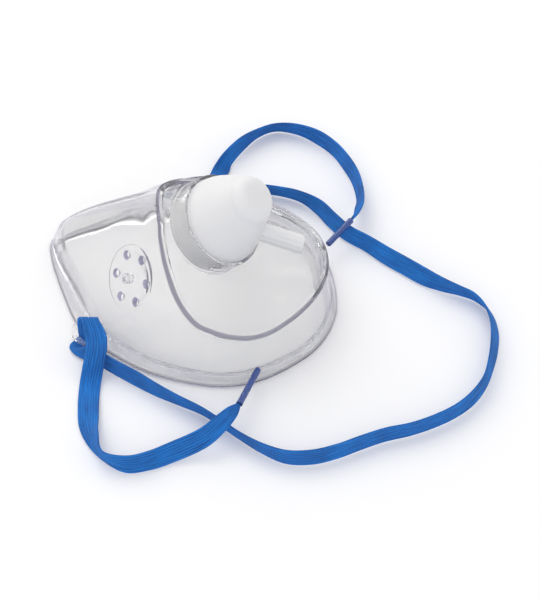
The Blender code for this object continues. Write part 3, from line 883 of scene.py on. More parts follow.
@dataclass
class MaskShell:
    """Face flange, walls, bead, front face and collar: one clear moulding."""

    flange_side: float = 5.0
    flange_nose: float = 1.9
    flange_chin: float = 2.4
    flange_thick: float = 1.6
    flange_round: float = 0.6
    edge_points: int = 5
    land_share: float = 0.35
    thick: float = 1.3
    wall_steps: int = 12
    bulge_side: float = 2.6
    bulge_nose: float = 6.2
    bulge_chin: float = 0.8
    bulge_power: float = 0.5
    end_gain: float = 1.7
    end_power: float = 1.2
    flat_reach: float = 9.0
    flat_border: float = 24.0
    flat_fade: float = 0.16
    bead_radius: float = 1.4
    bead_sweep_deg: float = 84.0
    bead_points: int = 9
    face_dish: float = 1.6
    face_span: float = 30.0
    face_steps: int = 4
    collar_radius: float = 16.9
    collar_flare: float = 0.3
    collar_base: float = 1.0
    collar_top_radius: float = 16.7
    collar_bore_radius: float = 15.7
    bore_chamfer: float = 0.3
    lip_radius: float = 16.3
    lip_height: float = 1.9
    lip_chamfer: float = 0.4
    around: int = 320
    smooth_deg: float = 42.0

    # rounded top of the collar: step out from its radius, height from its top
    COLLAR_TOP = ((0.02, -0.35), (-0.12, -0.08), (-0.38, 0.0))
    # half outlines on the far side, nose to chin: the rim on the table and the crest of the bead
    RIM = ((0.0, 56.2), (8.6, 51.6), (16.5, 45.0), (25.3, 36.8), (31.0, 31.0), (36.0, 24.5), (39.5, 16.0),
           (42.0, 6.5), (43.5, -3.0), (43.4, -12.0), (42.2, -21.0), (39.8, -30.0), (35.5, -38.0),
           (28.5, -45.0), (20.0, -50.5), (10.5, -54.8), (0.0, -56.2))
    BEAD = ((0.0, 8.9, 47.6), (4.4, 7.8, 46.9), (8.6, 5.8, 45.2), (12.6, 3.4, 42.7), (16.8, 1.0, 40.0),
            (23.2, -4.2, 34.4), (29.3, -11.4, 27.2), (32.4, -19.0, 22.2), (32.6, -25.5, 20.8),
            (31.4, -31.5, 19.7), (28.9, -37.6, 19.2), (24.4, -43.0, 19.4), (18.0, -47.4, 20.6),
            (9.5, -51.0, 22.0), (0.0, -52.3, 22.4))
    VENT_CENTRE = (-24.9, 8.7, 25.0)
    VENT_NORMAL = (-0.72, 0.49, 0.49)

    def __post_init__(self) -> None:
        """Sets out both vent panels."""
        self.vents = [VentPanel(side, Vector(self.VENT_CENTRE), Vector(self.VENT_NORMAL).normalized())
                      for side in Side]

    def shares(self, index: int) -> tuple[float, float]:
        """How near a station is to the nose and to the chin, each from 0 to 1.

        Args:
            index: Number of the station round the shell, nose first.

        Returns:
            Share of the nose and share of the chin.
        """
        along = 1.0 - 4.0 * min(index, self.around - index) / self.around
        start = self.end_gain - 1.0
        return (max(0.0, along * self.end_gain - start) ** self.end_power,
                max(0.0, -along * self.end_gain - start) ** self.end_power)

    def by_station(self, index: int, nose: float, side: float, chin: float) -> float:
        """Value that runs from the nose over the sides to the chin."""
        near_nose, near_chin = self.shares(index)
        return nose * near_nose + chin * near_chin + side * (1.0 - near_nose - near_chin)

    def inset(self, ring: Ring, extra: float) -> Ring:
        """Rim moved inward by the flange's width and a little more.

        Args:
            ring: The rim.
            extra: Distance added to the flange's width.

        Returns:
            The inner ring.
        """
        moved = []
        for i, (point, tangent) in enumerate(zip(ring, ring_tangents(ring))):
            inward = Vector((-tangent.y, tangent.x, 0.0)).normalized()
            width = self.by_station(i, self.flange_nose, self.flange_side, self.flange_chin)
            moved.append(point + inward * (width + extra))
        return moved

    def inset_share(self, ring: Ring, share: float) -> Ring:
        """Rim moved inward by a share of the flange's width."""
        inner = self.inset(ring, 0.0)
        return [a.lerp(b, share) for a, b in zip(ring, inner)]

    def rim_in(self, rim: Ring, pull: float) -> Ring:
        """Rim moved inward by a small step, for its rounded edge."""
        return [p + Vector((-t.y, t.x, 0.0)).normalized() * pull
                for p, t in zip(rim, ring_tangents(rim))]

    def edge_rings(self, rim: Ring) -> list[Ring]:
        """Rounded edge of the flange, from the table up.

        Args:
            rim: Outline of the flange.

        Returns:
            Rings over the lower and the upper rounding.
        """
        r = self.flange_round
        rings = []
        for k in range(2 * self.edge_points):
            upper = k >= self.edge_points
            turn = math.radians(90.0 * (k - 1 if upper else k) / (self.edge_points - 1))
            high = self.flange_thick - r if upper else r
            rings.append(at_height(self.rim_in(rim, r * (1.0 - math.sin(turn))),
                                   high - r * math.cos(turn)))
        return rings

    def wall_rings(self, bottom: Ring, top: Ring) -> list[Ring]:
        """Bulged wall between the flange and the bead.

        Args:
            bottom: Foot of the wall.
            top: Corner ring inside the bead.

        Returns:
            Rings from foot to corner.
        """
        tangents = ring_tangents([a.lerp(b, 0.5) for a, b in zip(bottom, top)])
        rings = []
        for k in range(self.wall_steps + 1):
            t = k / self.wall_steps
            shape = math.sin(math.pi * t ** self.bulge_power)
            ring = []
            for i, (a, b) in enumerate(zip(bottom, top)):
                outward = tangents[i].cross(b - a).normalized()
                bulge = self.by_station(i, self.bulge_nose, self.bulge_side, self.bulge_chin)
                ring.append(self.flattened(a.lerp(b, t) + outward * (bulge * shape), t))
            rings.append(ring)
        return rings

    def flattened(self, point: Vector, rise: float) -> Vector:
        """Wall point drawn towards the plane of the vent panel near it.

        Args:
            point: Point of the bulged wall.
            rise: Its share of the way from the flange to the bead.

        Returns:
            The point on the cheek's flat, on its soft border or where it was.
        """
        for vent in self.vents:
            offset = point - vent.centre
            height = offset.dot(vent.normal)
            spread = (offset - vent.normal * height).length
            if abs(height) < self.flat_reach and spread < self.flat_border:
                near = min(1.0, (self.flat_border - spread) / (self.flat_border - vent.radius))
                low = min(1.0, (1.0 - rise) / self.flat_fade)
                share = eased(near) * eased(low)
                return point - vent.normal * (share * (height - vent.skin_height(offset)))
        return point

    def face_rings(self, outer: Ring, inner: Ring) -> list[Ring]:
        """Dished front face between the bead and the collar.

        Args:
            outer: Corner ring inside the bead.
            inner: Ring at the collar's foot.

        Returns:
            Rings from the bead to the collar.
        """
        rings = []
        for k in range(self.face_steps + 1):
            t = k / self.face_steps
            ring = []
            for a, b in zip(outer, inner):
                full = min(1.0, (b - a).length / self.face_span)
                ring.append(a.lerp(b, t) - TURRET.axis * (self.face_dish * full * math.sin(math.pi * t)))
            rings.append(ring)
        return rings

    def bead_rings(self, crest: Ring, bend: Ring, collar_foot: Ring) -> tuple[Ring, list[Ring]]:
        """Round bead over the corner of wall and face.

        Args:
            crest: Ring along the top of the bead.
            bend: Ring at the foot of the wall.
            collar_foot: Ring at the collar's foot.

        Returns:
            The corner ring inside the bead and the rings over it.
        """
        corner = []
        bead: list[Ring] = [[] for _ in range(self.bead_points)]
        for i, (point, tangent) in enumerate(zip(crest, ring_tangents(crest))):
            wall_normal = tangent.cross(point - bend[i]).normalized()
            face_normal = tangent.cross(collar_foot[i] - point).normalized()
            middle = (wall_normal + face_normal).normalized()
            side = tangent.cross(middle).normalized()
            if side.dot(wall_normal) < 0.0:
                side = -side
            centre = point - middle * self.bead_radius
            corner.append(centre)
            for k, ring in enumerate(bead):
                angle = math.radians(self.bead_sweep_deg * (1.0 - 2.0 * k / (self.bead_points - 1)))
                ring.append(centre + (middle * math.cos(angle) + side * math.sin(angle))
                            * self.bead_radius)
        return corner, bead

    def collar_rings(self, facing: Ring) -> list[Ring]:
        """Collar with its rounded top, its bore and the lip that the connector rests on.

        Args:
            facing: Ring that the collar's points face.

        Returns:
            Rings up the outside and down the bore.
        """
        top, outer, bore = COLLAR_HEIGHT, self.collar_top_radius, self.collar_bore_radius
        rows = [(self.collar_radius, self.collar_base)]
        rows += [(outer + out, top + rise) for out, rise in self.COLLAR_TOP]
        rows += [(bore + self.bore_chamfer, top), (bore, top - self.bore_chamfer),
                 (bore, self.lip_height), (self.lip_radius, self.lip_height - self.lip_chamfer),
                 (self.lip_radius, -self.thick)]
        return [TURRET.circle_facing(facing, radius, height) for radius, height in rows]

    def inner_rings(self, coarse: list[Ring]) -> list[Ring]:
        """Rings of wall and face moved inward by the thickness.

        Args:
            coarse: Outer rings of wall and face.

        Returns:
            As many rings on the inside.
        """
        inner = []
        for k, ring in enumerate(coarse):
            low = coarse[max(0, k - 1)]
            high = coarse[min(len(coarse) - 1, k + 1)]
            normals = [t.cross(b - a).normalized() for t, a, b in zip(ring_tangents(ring), low, high)]
            inner.append([p - n * self.thick for p, n in zip(ring, normals)])
        return inner

    def rings(self) -> tuple[list[Ring], set[int]]:
        """All rings of the moulding, outside from rim to collar and back inside.

        Returns:
            The rings, and the numbers of those on the rim and the bead's outer side.
        """
        half = self.around // 2
        rim = full_ring(half_curve(list(self.RIM), half))
        crest = full_ring(half_curve(list(self.BEAD), half))
        bend = at_height(self.inset(rim, 0.0), self.flange_thick)
        land = at_height(self.inset_share(rim, self.land_share), self.flange_thick)
        foot = at_height(self.inset(rim, self.thick), 0.0)
        collar_foot = TURRET.circle_facing(crest, self.collar_radius + self.collar_flare, 0.0)
        corner, bead = self.bead_rings(crest, bend, collar_foot)
        walls = self.wall_rings(bend, corner)
        faces = self.face_rings(corner, collar_foot)
        edge = self.edge_rings(rim)
        # a flared foot runs from the flange's land into the wall, which stops short of the bead
        flare = finer([land, walls[2], walls[4]], 6)[:-7]
        wall_out = flare + finer(walls, 2)[4:-3]
        face_out = finer(faces, 3)[2:]
        # the inside leaves out the sharp corners at both ends
        inside = self.inner_rings(walls + faces[1:])[2:-2]
        skin_in = finer(list(reversed(inside)), 2)
        bead_start = len(edge) + len(wall_out)
        thick = set(range(len(edge) - 1)) | set(range(bead_start, bead_start + len(bead) // 2 + 1))
        rings = edge + wall_out + bead + face_out + self.collar_rings(crest) + skin_in + [foot]
        return rings, thick

    def build(self, material: bpy.types.Material, thick_material: bpy.types.Material,
              hole_material: bpy.types.Material) -> bpy.types.Object:
        """Makes the moulding with its tabs and vent panels.

        Args:
            material: Clear vinyl.
            thick_material: The same on the rim and the bead's outer side, where its tint shows.
            hole_material: The vinyl on the walls of the vent holes.

        Returns:
            The finished piece.
        """
        rings, thick = self.rings()
        shell = make_piece("clear_shell", *skin(rings, True))
        shell.data.materials.append(material)
        shell.data.materials.append(thick_material)
        for face in shell.data.polygons:
            face.material_index = 1 if face.index // self.around in thick else 0
        tabs = [StrapTab(side) for side in Side]
        drills = merged("drills", [drill for vent in self.vents for drill in vent.drills()])
        drills.data.materials.append(hole_material)
        carve(shell, merged("tabs", [tab.plate() for tab in tabs]), "UNION")
        carve(shell, merged("slots", [tab.slot() for tab in tabs]), "DIFFERENCE")
        carve(shell, merged("cups", [vent.cup() for vent in self.vents]), "UNION")
        carve(shell, merged("recesses", [vent.recess() for vent in self.vents]), "DIFFERENCE")
        carve(shell, merged("posts", [vent.post() for vent in self.vents]), "UNION")
        carve(shell, drills, "DIFFERENCE")
        smooth(shell, self.smooth_deg)
        dress(shell, material, "clear_pvc", "mask", "mask_shell")
        return shell


@dataclass
class SwivelConnector:
    """White cap that presses into the collar, with the fluted tube spigot."""

    skirt_radius: float = 15.35
    dome_start: float = 9.9
    dome_top: float = 29.6
    dome_top_radius: float = 7.0
    flank_power: float = 1.45
    flank_drop: float = 2.2
    flank_out: float = 0.6
    flank_steps: int = 20
    roof_round: float = 4.0
    roof_steps: int = 12
    roof_shift: float = 0.03
    crown: float = 0.3
    crown_gain: float = 1.15
    crown_share: float = 0.25
    top_shift_down: float = -1.9
    top_shift_across: float = 0.7
    wall: float = 1.4
    wall_drop: float = 0.4
    spigot_turn_deg: float = 21.0
    spigot_rise_deg: float = 20.0
    spigot_height: float = 9.8
    spigot_radius: float = 3.5
    spigot_bore: float = 2.1
    spigot_start: float = 6.0
    spigot_end: float = 29.5
    bore_chamfer: float = 0.3
    chamfer_past: float = 0.1
    flutes: int = 12
    flute_points: int = 8
    flute_depth: float = 0.25
    sides: int = 160
    bore_sides: int = 48
    smooth_deg: float = 38.0

    # skirt with its press-in bead: step out from the skirt's radius, height from the collar's foot
    SKIRT = ((-0.6, -0.9), (-0.1, -0.75), (0.5, -0.35), (0.6, 0.0), (0.6, 0.5), (0.0, 1.2))
    # rounded end of the spigot: distance from its end, share of its radius
    SPIGOT_END = ((-0.8, 1.0), (-0.25, 0.97), (0.0, 0.9))

    def profile(self, outer: bool) -> list[tuple[float, float, float]]:
        """Flank and roof of the cap, from the skirt up.

        Args:
            outer: True for the outside, False for the inside.

        Returns:
            Radius, height and share of the roof's shift of each ring.
        """
        wall = 0.0 if outer else self.wall
        start = self.dome_start if outer else COLLAR_HEIGHT
        rows = []
        shoulder = self.dome_top - self.roof_round
        full = self.dome_top - self.flank_drop - start
        taper = self.dome_top_radius + self.flank_out - self.skirt_radius
        for k in range(self.flank_steps + 1):
            t = k / self.flank_steps * (shoulder - start) / full
            # the inside falls back from the outside from a quarter to three quarters of the way up
            drop = wall * self.wall_drop * min(1.0, max(0.0, 2.0 * t - 0.5))
            rows.append((self.skirt_radius + taper * t ** self.flank_power - wall,
                         start + full * t - drop, t))
        edge = rows[-1][0] + wall
        for k in range(1, self.roof_steps + 1):
            angle = math.radians(90.0 * k / self.roof_steps)
            radius = edge - self.roof_round * (1.0 - math.cos(angle))
            height = shoulder + (self.roof_round + self.crown) * math.sin(angle)
            rows.append((radius - wall, height - wall, min(1.0, t + self.roof_shift * k)))
        rows.append((self.crown_share * self.dome_top_radius,
                     self.dome_top + self.crown * self.crown_gain - wall, 1.0))
        return rows

    def ring(self, radius: float, height: float, share: float) -> Ring:
        """Ring round the turret's axis, moved by a share of the roof's shift."""
        turns = [2.0 * math.pi * k / self.sides for k in range(self.sides)]
        return [TURRET.point(radius * math.cos(t) + share * self.top_shift_down,
                             radius * math.sin(t) + share * self.top_shift_across, height)
                for t in turns]

    def body(self) -> bpy.types.Object:
        """Hollow cap, open at the skirt.

        Returns:
            The cap without its spigot.
        """
        outer = [(self.skirt_radius + out, height, 0.0) for out, height in self.SKIRT]
        inner = [(self.skirt_radius - self.wall, outer[0][1], 0.0)] + self.profile(False)
        outer += self.profile(True)
        rings = [self.ring(*row) for row in outer]
        low = (len(rings) - 1) * self.sides
        rings += [self.ring(*row) for row in reversed(inner)]
        points, faces = skin(rings, True)
        # two discs close the roof, outside and inside, instead of the band between them
        faces = [face for face in faces if not low <= face[0] < low + self.sides]
        faces += [tuple(range(low, low + self.sides)),
                  tuple(range(low + self.sides, low + 2 * self.sides))]
        return make_piece("white_connector", points, faces)

    def fluted_ring(self, centre: Vector, right: Vector, up: Vector, scale: float) -> Ring:
        """Section of the spigot with its flutes.

        Args:
            centre: Middle of the ring.
            right: First direction across the spigot.
            up: Second direction across it.
            scale: Share of the full radius.

        Returns:
            Points round the section.
        """
        count = self.flutes * self.flute_points
        ring = []
        for k in range(count):
            t = 2.0 * math.pi * k / count
            wave = self.flute_depth * (0.5 + 0.5 * math.cos(self.flutes * t))
            ring.append(centre + (right * math.cos(t) + up * math.sin(t))
                        * ((self.spigot_radius - wave) * scale))
        return ring

    def build(self, material: bpy.types.Material) -> bpy.types.Object:
        """Makes the connector.

        Args:
            material: White polyethylene.

        Returns:
            The finished piece.
        """
        body = self.body()
        turn = math.radians(self.spigot_turn_deg)
        rise = math.radians(self.spigot_rise_deg)
        level = TURRET.down * math.cos(turn) + X_AXIS * math.sin(turn)
        axis = level * math.cos(rise) + TURRET.axis * math.sin(rise)
        centre = TURRET.point(0.0, 0.0, self.spigot_height)
        side = axis.cross(TURRET.axis).normalized()
        other = side.cross(axis).normalized()
        end, mouth = self.spigot_end, self.spigot_bore + self.bore_chamfer + self.chamfer_past
        sections = [(self.spigot_start, 1.0)] + [(end + back, scale) for back, scale in self.SPIGOT_END]
        rings = [self.fluted_ring(centre + axis * distance, side, other, scale)
                 for distance, scale in sections]
        carve(body, make_piece("spigot", *capped(rings)), "UNION")
        bore = [(self.spigot_start - OVERSHOOT, self.spigot_bore),
                (end - self.bore_chamfer, self.spigot_bore),
                (end + self.chamfer_past, mouth), (end + OVERSHOOT, mouth)]
        carve(body, make_piece("bore", *rod_parts(centre, axis, bore, self.bore_sides)), "DIFFERENCE")
        smooth(body, self.smooth_deg)
        dress(body, material, "white_plastic", "connector", "swivel_connector")
        return body


@dataclass
class HeadStrap:
    """Flat ribbed elastic from tip to tip, threaded through both tabs."""

    width: float = 7.6
    thick: float = 0.8
    ribs: int = 8
    rib_points: int = 4
    rib_relief: float = 0.12
    edge_share: float = 0.94
    edge_thinning: float = 0.55
    ring_gap: float = 0.9
    real_length_mm: float = 622.0
    smooth_deg: float = 60.0

    # outer edge and inner edge of the ribbon, (x, y, z, x, y, z), near tip to far tip
    TAIL_NEAR = (
        (-45.9, -43.4, 7.05, -45.8, -42.4, 7.15), (-48.2, -43.6, 7.35, -48.1, -42.6, 7.45),
        (-50.6, -44.3, 7.7, -50.0, -42.0, 8.3), (-54.4, -44.9, 8.0, -53.2, -40.9, 9.8),
        (-60.4, -44.4, 8.2, -59.3, -39.4, 11.2), (-66.6, -42.0, 6.4, -63.7, -37.3, 10.2),
        (-70.6, -38.0, 3.7, -67.0, -34.0, 8.2), (-76.4, -31.2, 1.1, -73.2, -27.2, 5.8),
        (-81.7, -25.7, 0.5, -79.1, -23.4, 6.7), (-86.4, -18.4, 0.5, -84.0, -17.8, 6.9),
        (-85.0, -9.8, 0.5, -86.0, -9.5, 7.3), (-81.4, -1.6, 0.5, -78.0, -3.8, 6.2),
        (-75.5, 5.1, 0.6, -71.1, -0.3, 3.0), (-67.6, 9.8, 0.6, -64.2, 3.2, 1.6),
        (-60.0, 13.3, 0.7, -57.2, 6.4, 0.8),
    )
    NEAR_LOOP = (
        (-55.7, 14.7, 2.4, -52.9, 7.7, 2.4), (-52.5, 15.0, 6.8, -49.9, 7.9, 6.8),
        (-49.7, 15.5, 9.5, -47.0, 8.4, 9.5), (-47.0, 16.6, 10.7, -44.2, 9.6, 10.7),
        (-44.9, 18.1, 11.9, -41.7, 11.2, 11.9), (-42.8, 19.8, 12.9, -39.6, 13.7, 12.9),
        (-41.1, 21.2, 13.7, -38.3, 15.6, 13.6), (-39.7, 22.7, 13.2, -36.8, 16.8, 12.8),
        (-39.0, 24.1, 11.2, -36.4, 17.1, 10.8), (-38.8, 24.5, 8.2, -37.1, 17.4, 8.0),
        (-38.3, 24.7, 5.2, -39.1, 17.7, 5.1), (-38.0, 24.7, 2.6, -40.2, 18.0, 2.6),
        (-38.0, 24.7, 1.5, -40.2, 18.0, 1.5), (-38.5, 24.9, 0.7, -40.7, 18.2, 0.7),
        (-39.9, 25.3, 0.5, -42.0, 18.6, 0.5), (-42.3, 26.0, 0.5, -43.8, 19.2, 0.9),
        (-44.4, 25.2, 0.5, -44.3, 19.4, 3.4), (-45.9, 22.9, 0.5, -44.9, 18.7, 5.3),
        (-46.7, 19.8, 0.5, -45.5, 17.1, 6.6), (-46.9, 16.3, 0.5, -46.0, 14.9, 7.1),
    )
    LONG_RUN = (
        (-47.3, 11.8, 0.5, -46.3, 11.3, 7.3), (-48.9, 4.4, 0.5, -47.9, 4.2, 7.3),
        (-50.6, -4.4, 0.5, -49.4, -4.6, 7.3), (-51.8, -13.3, 0.5, -51.7, -13.3, 7.4),
        (-52.2, -22.3, 0.5, -53.5, -22.3, 7.3), (-52.8, -31.3, 0.5, -54.7, -30.9, 7.1),
        (-55.2, -39.9, 0.5, -56.9, -39.4, 7.1), (-57.8, -48.5, 0.5, -59.5, -47.9, 7.1),
        (-60.0, -57.1, 0.5, -61.0, -56.9, 7.3), (-60.8, -66.0, 0.5, -60.5, -65.9, 7.4),
        (-57.5, -74.3, 0.5, -56.7, -73.8, 7.3), (-51.7, -81.1, 0.5, -51.1, -80.4, 7.3),
        (-44.8, -87.0, 0.5, -44.4, -86.5, 7.4), (-38.2, -93.1, 0.5, -37.9, -92.8, 7.4),
        (-32.4, -99.9, 0.5, -32.3, -99.9, 7.4), (-25.9, -106.0, 0.5, -25.8, -105.9, 7.4),
        (-18.6, -111.3, 0.5, -18.4, -111.0, 7.4), (-10.5, -115.0, 0.5, -10.2, -114.1, 7.3),
        (-1.6, -116.3, 0.5, -1.6, -115.3, 7.3), (7.4, -115.7, 0.5, 7.2, -113.9, 7.1),
        (16.3, -114.2, 0.5, 15.8, -111.6, 6.9), (25.1, -111.2, 0.5, 23.9, -108.4, 6.7),
        (32.4, -106.0, 0.5, 30.4, -103.6, 6.7), (36.0, -99.0, 0.5, 33.8, -98.4, 7.0),
        (36.4, -92.6, 0.5, 34.8, -92.6, 7.2), (35.6, -86.0, 0.5, 35.9, -86.1, 7.4),
        (35.5, -78.3, 0.5, 38.5, -78.7, 6.8), (37.6, -69.6, 0.5, 41.0, -70.5, 6.5),
        (39.9, -60.9, 0.5, 43.2, -62.0, 6.5), (43.0, -52.5, 0.5, 45.3, -53.3, 7.0),
        (45.2, -43.8, 0.5, 47.3, -44.6, 7.1), (48.9, -35.9, 0.5, 51.3, -37.2, 6.9),
        (53.9, -28.2, 0.5, 55.4, -29.2, 7.2), (57.4, -20.4, 0.5, 56.4, -20.0, 7.3),
        (57.4, -11.8, 0.5, 55.4, -11.9, 7.2), (55.2, -3.6, 0.5, 53.4, -4.2, 7.2),
        (52.6, 4.4, 0.5, 51.0, 3.8, 7.2), (50.4, 11.2, 0.9, 48.8, 10.4, 7.3),
    )
    FAR_LOOP = (
        (48.8, 16.0, 1.7, 46.8, 14.2, 7.4), (47.0, 19.8, 2.3, 44.5, 16.3, 7.1),
        (45.0, 23.4, 2.9, 43.0, 17.6, 5.9), (43.0, 25.2, 3.4, 42.6, 18.6, 4.6),
        (40.8, 25.5, 3.7, 42.2, 18.8, 3.8), (39.0, 25.0, 3.8, 41.1, 18.4, 3.8),
        (38.1, 24.7, 3.1, 40.3, 18.0, 3.1), (38.0, 24.7, 2.2, 40.2, 18.0, 2.2),
        (38.0, 24.7, 1.4, 40.2, 18.0, 1.4), (38.6, 24.9, 0.7, 40.8, 18.2, 0.7),
        (40.3, 25.5, 0.5, 42.4, 18.8, 0.5), (43.4, 26.4, 0.5, 45.3, 19.8, 0.5),
        (46.4, 24.6, 0.5, 47.0, 18.4, 0.5), (50.2, 21.1, 0.5, 48.4, 14.9, 0.5),
    )
    TAIL_FAR = (
        (55.2, 17.7, 0.9, 53.0, 11.6, 0.5),
        (60.8, 17.4, 2.6, 60.9, 11.4, 0.7), (66.0, 15.3, 6.3, 66.0, 12.4, 0.6),
        (75.1, 12.4, 7.3, 75.0, 11.6, 0.5), (82.9, 7.8, 7.1, 83.7, 9.6, 0.5),
        (87.9, 3.1, 6.9, 90.1, 4.6, 0.5), (90.4, -4.2, 7.3, 91.7, -4.3, 0.5),
        (90.6, -13.3, 7.3, 89.7, -13.0, 0.5), (87.3, -21.9, 7.3, 86.2, -21.3, 0.5),
        (82.1, -29.6, 7.2, 80.6, -28.4, 0.5), (75.5, -36.3, 7.2, 74.3, -34.7, 0.5),
        (67.3, -41.6, 7.5, 66.6, -39.6, 1.0), (59.9, -44.8, 8.6, 59.4, -41.7, 3.6),
        (53.6, -45.7, 9.4, 53.3, -43.6, 6.6), (50.0, -45.1, 9.1, 49.9, -44.2, 8.6),
        (47.6, -44.7, 8.9, 47.5, -43.9, 8.5), (45.2, -44.2, 8.7, 45.1, -43.4, 8.3),
    )

    def stations(self) -> list[tuple[Vector, Vector]]:
        """Pairs of edge points, close together all along the strap.

        Returns:
            Point on the outer edge and point on the inner edge of each station.
        """
        rows = self.TAIL_NEAR + self.NEAR_LOOP + self.LONG_RUN + self.FAR_LOOP + self.TAIL_FAR
        edges = [(Vector(row[0:3]), Vector(row[3:6])) for row in rows]
        chain = [edges[0]] + edges + [edges[-1]]
        pairs = []
        for i in range(1, len(chain) - 2):
            here, ahead = chain[i], chain[i + 1]
            reach = ((ahead[0] - here[0]).length + (ahead[1] - here[1]).length) / 2.0
            steps = max(2, round(reach / self.ring_gap))
            for k in range(steps):
                pairs.append(tuple(catmull(*(chain[i + j][edge] for j in (-1, 0, 1, 2)), k / steps)
                                   for edge in (0, 1)))
        pairs.append(edges[-1])
        return pairs

    def section(self) -> list[tuple[float, float]]:
        """Ribbed section, underside first.

        Returns:
            Share across, from -1 to 1, and share of half the thickness of each point.
        """
        count = self.ribs * self.rib_points
        top = []
        for k in range(count + 1):
            across = -1.0 + 2.0 * k / count
            rib = abs(math.sin(math.pi * self.ribs * (across + 1.0) / 2.0))
            groove = self.rib_relief * (1.0 - rib)
            edge = max(0.0, abs(across) - self.edge_share) / (1.0 - self.edge_share)
            top.append((across, (1.0 - self.edge_thinning * edge * edge) - groove / (self.thick / 2.0)))
        return [(a, -h) for a, h in top] + [(a, h) for a, h in reversed(top)]

    def build(self, material: bpy.types.Material, tips: list[bpy.types.Object]) -> bpy.types.Object:
        """Args:
            material: Woven elastic.
            tips: The two end sleeves; not used.

        Returns:
            The finished piece.
        """
        pairs = self.stations()
        centres = [(a + b) / 2.0 for a, b in pairs]
        section = self.section()
        rings = []
        for i, (a, b) in enumerate(pairs):
            along = centres[min(i + 1, len(centres) - 1)] - centres[max(i - 1, 0)]
            across = (b - a) * (min(self.width, (b - a).length) / (b - a).length / 2.0)
            normal = along.cross(across).normalized() * (self.thick / 2.0)
            rings.append([centres[i] + across * u + normal * h for u, h in section])
        strap = make_piece("elastic_strap", *capped(rings))
        self.lay_map(strap.data, centres, section)
        smooth(strap, self.smooth_deg)
        dress(strap, material, "blue_elastic", "mask", "head_strap")
        return strap

    def lay_map(self, mesh: bpy.types.Mesh, centres: Ring, section: list[tuple[float, float]]) -> None:
        """Adds the map "lay": millimetres along the strap and across it.

        Args:
            mesh: The ribbon's mesh, its points ring by ring.
            centres: Middle of each ring.
            section: The ribbed section.
        """
        along = [0.0]
        for a, b in zip(centres, centres[1:]):
            along.append(along[-1] + (b - a).length)
        across = [(u + 1.0) * self.width / 2.0 for u, _ in section]
        layer = mesh.uv_layers.new(name="lay")
        for loop in mesh.loops:
            station, corner = divmod(loop.vertex_index, len(section))
            layer.data[loop.index].uv = (along[station], across[corner])


@dataclass
class StrapTip:
    """Sleeve crimped over one end of the elastic."""

    name: str
    node: str
    mouth: Vector
    end: Vector
    radius: float = 1.2
    crimps: int = 4
    crimp_half: float = 0.35
    crimp_depth: float = 0.16
    crimp_land: float = 0.05
    bore_radius: float = 0.95
    bore_depth: float = 3.6
    sides: int = 40
    smooth_deg: float = 40.0

    # bead at the mouth: distance from the mouth, step in from the radius
    MOUTH = ((0.0, 0.1), (0.12, 0.0), (0.7, 0.0), (0.9, 0.06))
    # rounded end: distance back from the end, step in from the radius
    END = ((0.8, 0.05), (0.25, 0.12), (0.0, 0.45))

    def profile(self, length: float) -> list[tuple[float, float]]:
        """Sleeve with a bead at its mouth, crimp rings and a rounded end.

        Args:
            length: Length of the sleeve.

        Returns:
            Distance from the mouth and radius of each ring.
        """
        r = self.radius
        rows = [(away, r - pull) for away, pull in self.MOUTH]
        for k in range(1, self.crimps + 1):
            ring = k * length / (self.crimps + 1.5)
            rows += [(ring - self.crimp_half, r - self.crimp_land), (ring, r - self.crimp_depth),
                     (ring + self.crimp_half, r - self.crimp_land)]
        return rows + [(length - back, r - pull) for back, pull in self.END]

    def build(self, material: bpy.types.Material) -> bpy.types.Object:
        """Makes the sleeve and bores its mouth.

        Args:
            material: Tip vinyl.

        Returns:
            The finished piece.
        """
        length = (self.end - self.mouth).length
        axis = (self.end - self.mouth).normalized()
        tip = make_piece(self.name, *rod_parts(self.mouth, axis, self.profile(length), self.sides))
        bore = [(-OVERSHOOT, self.bore_radius), (self.bore_depth, self.bore_radius)]
        carve(tip, make_piece("bore", *rod_parts(self.mouth, axis, bore, self.sides)), "DIFFERENCE")
        smooth(tip, self.smooth_deg)
        dress(tip, material, "blue_plastic", "mask", self.node)
        return tip


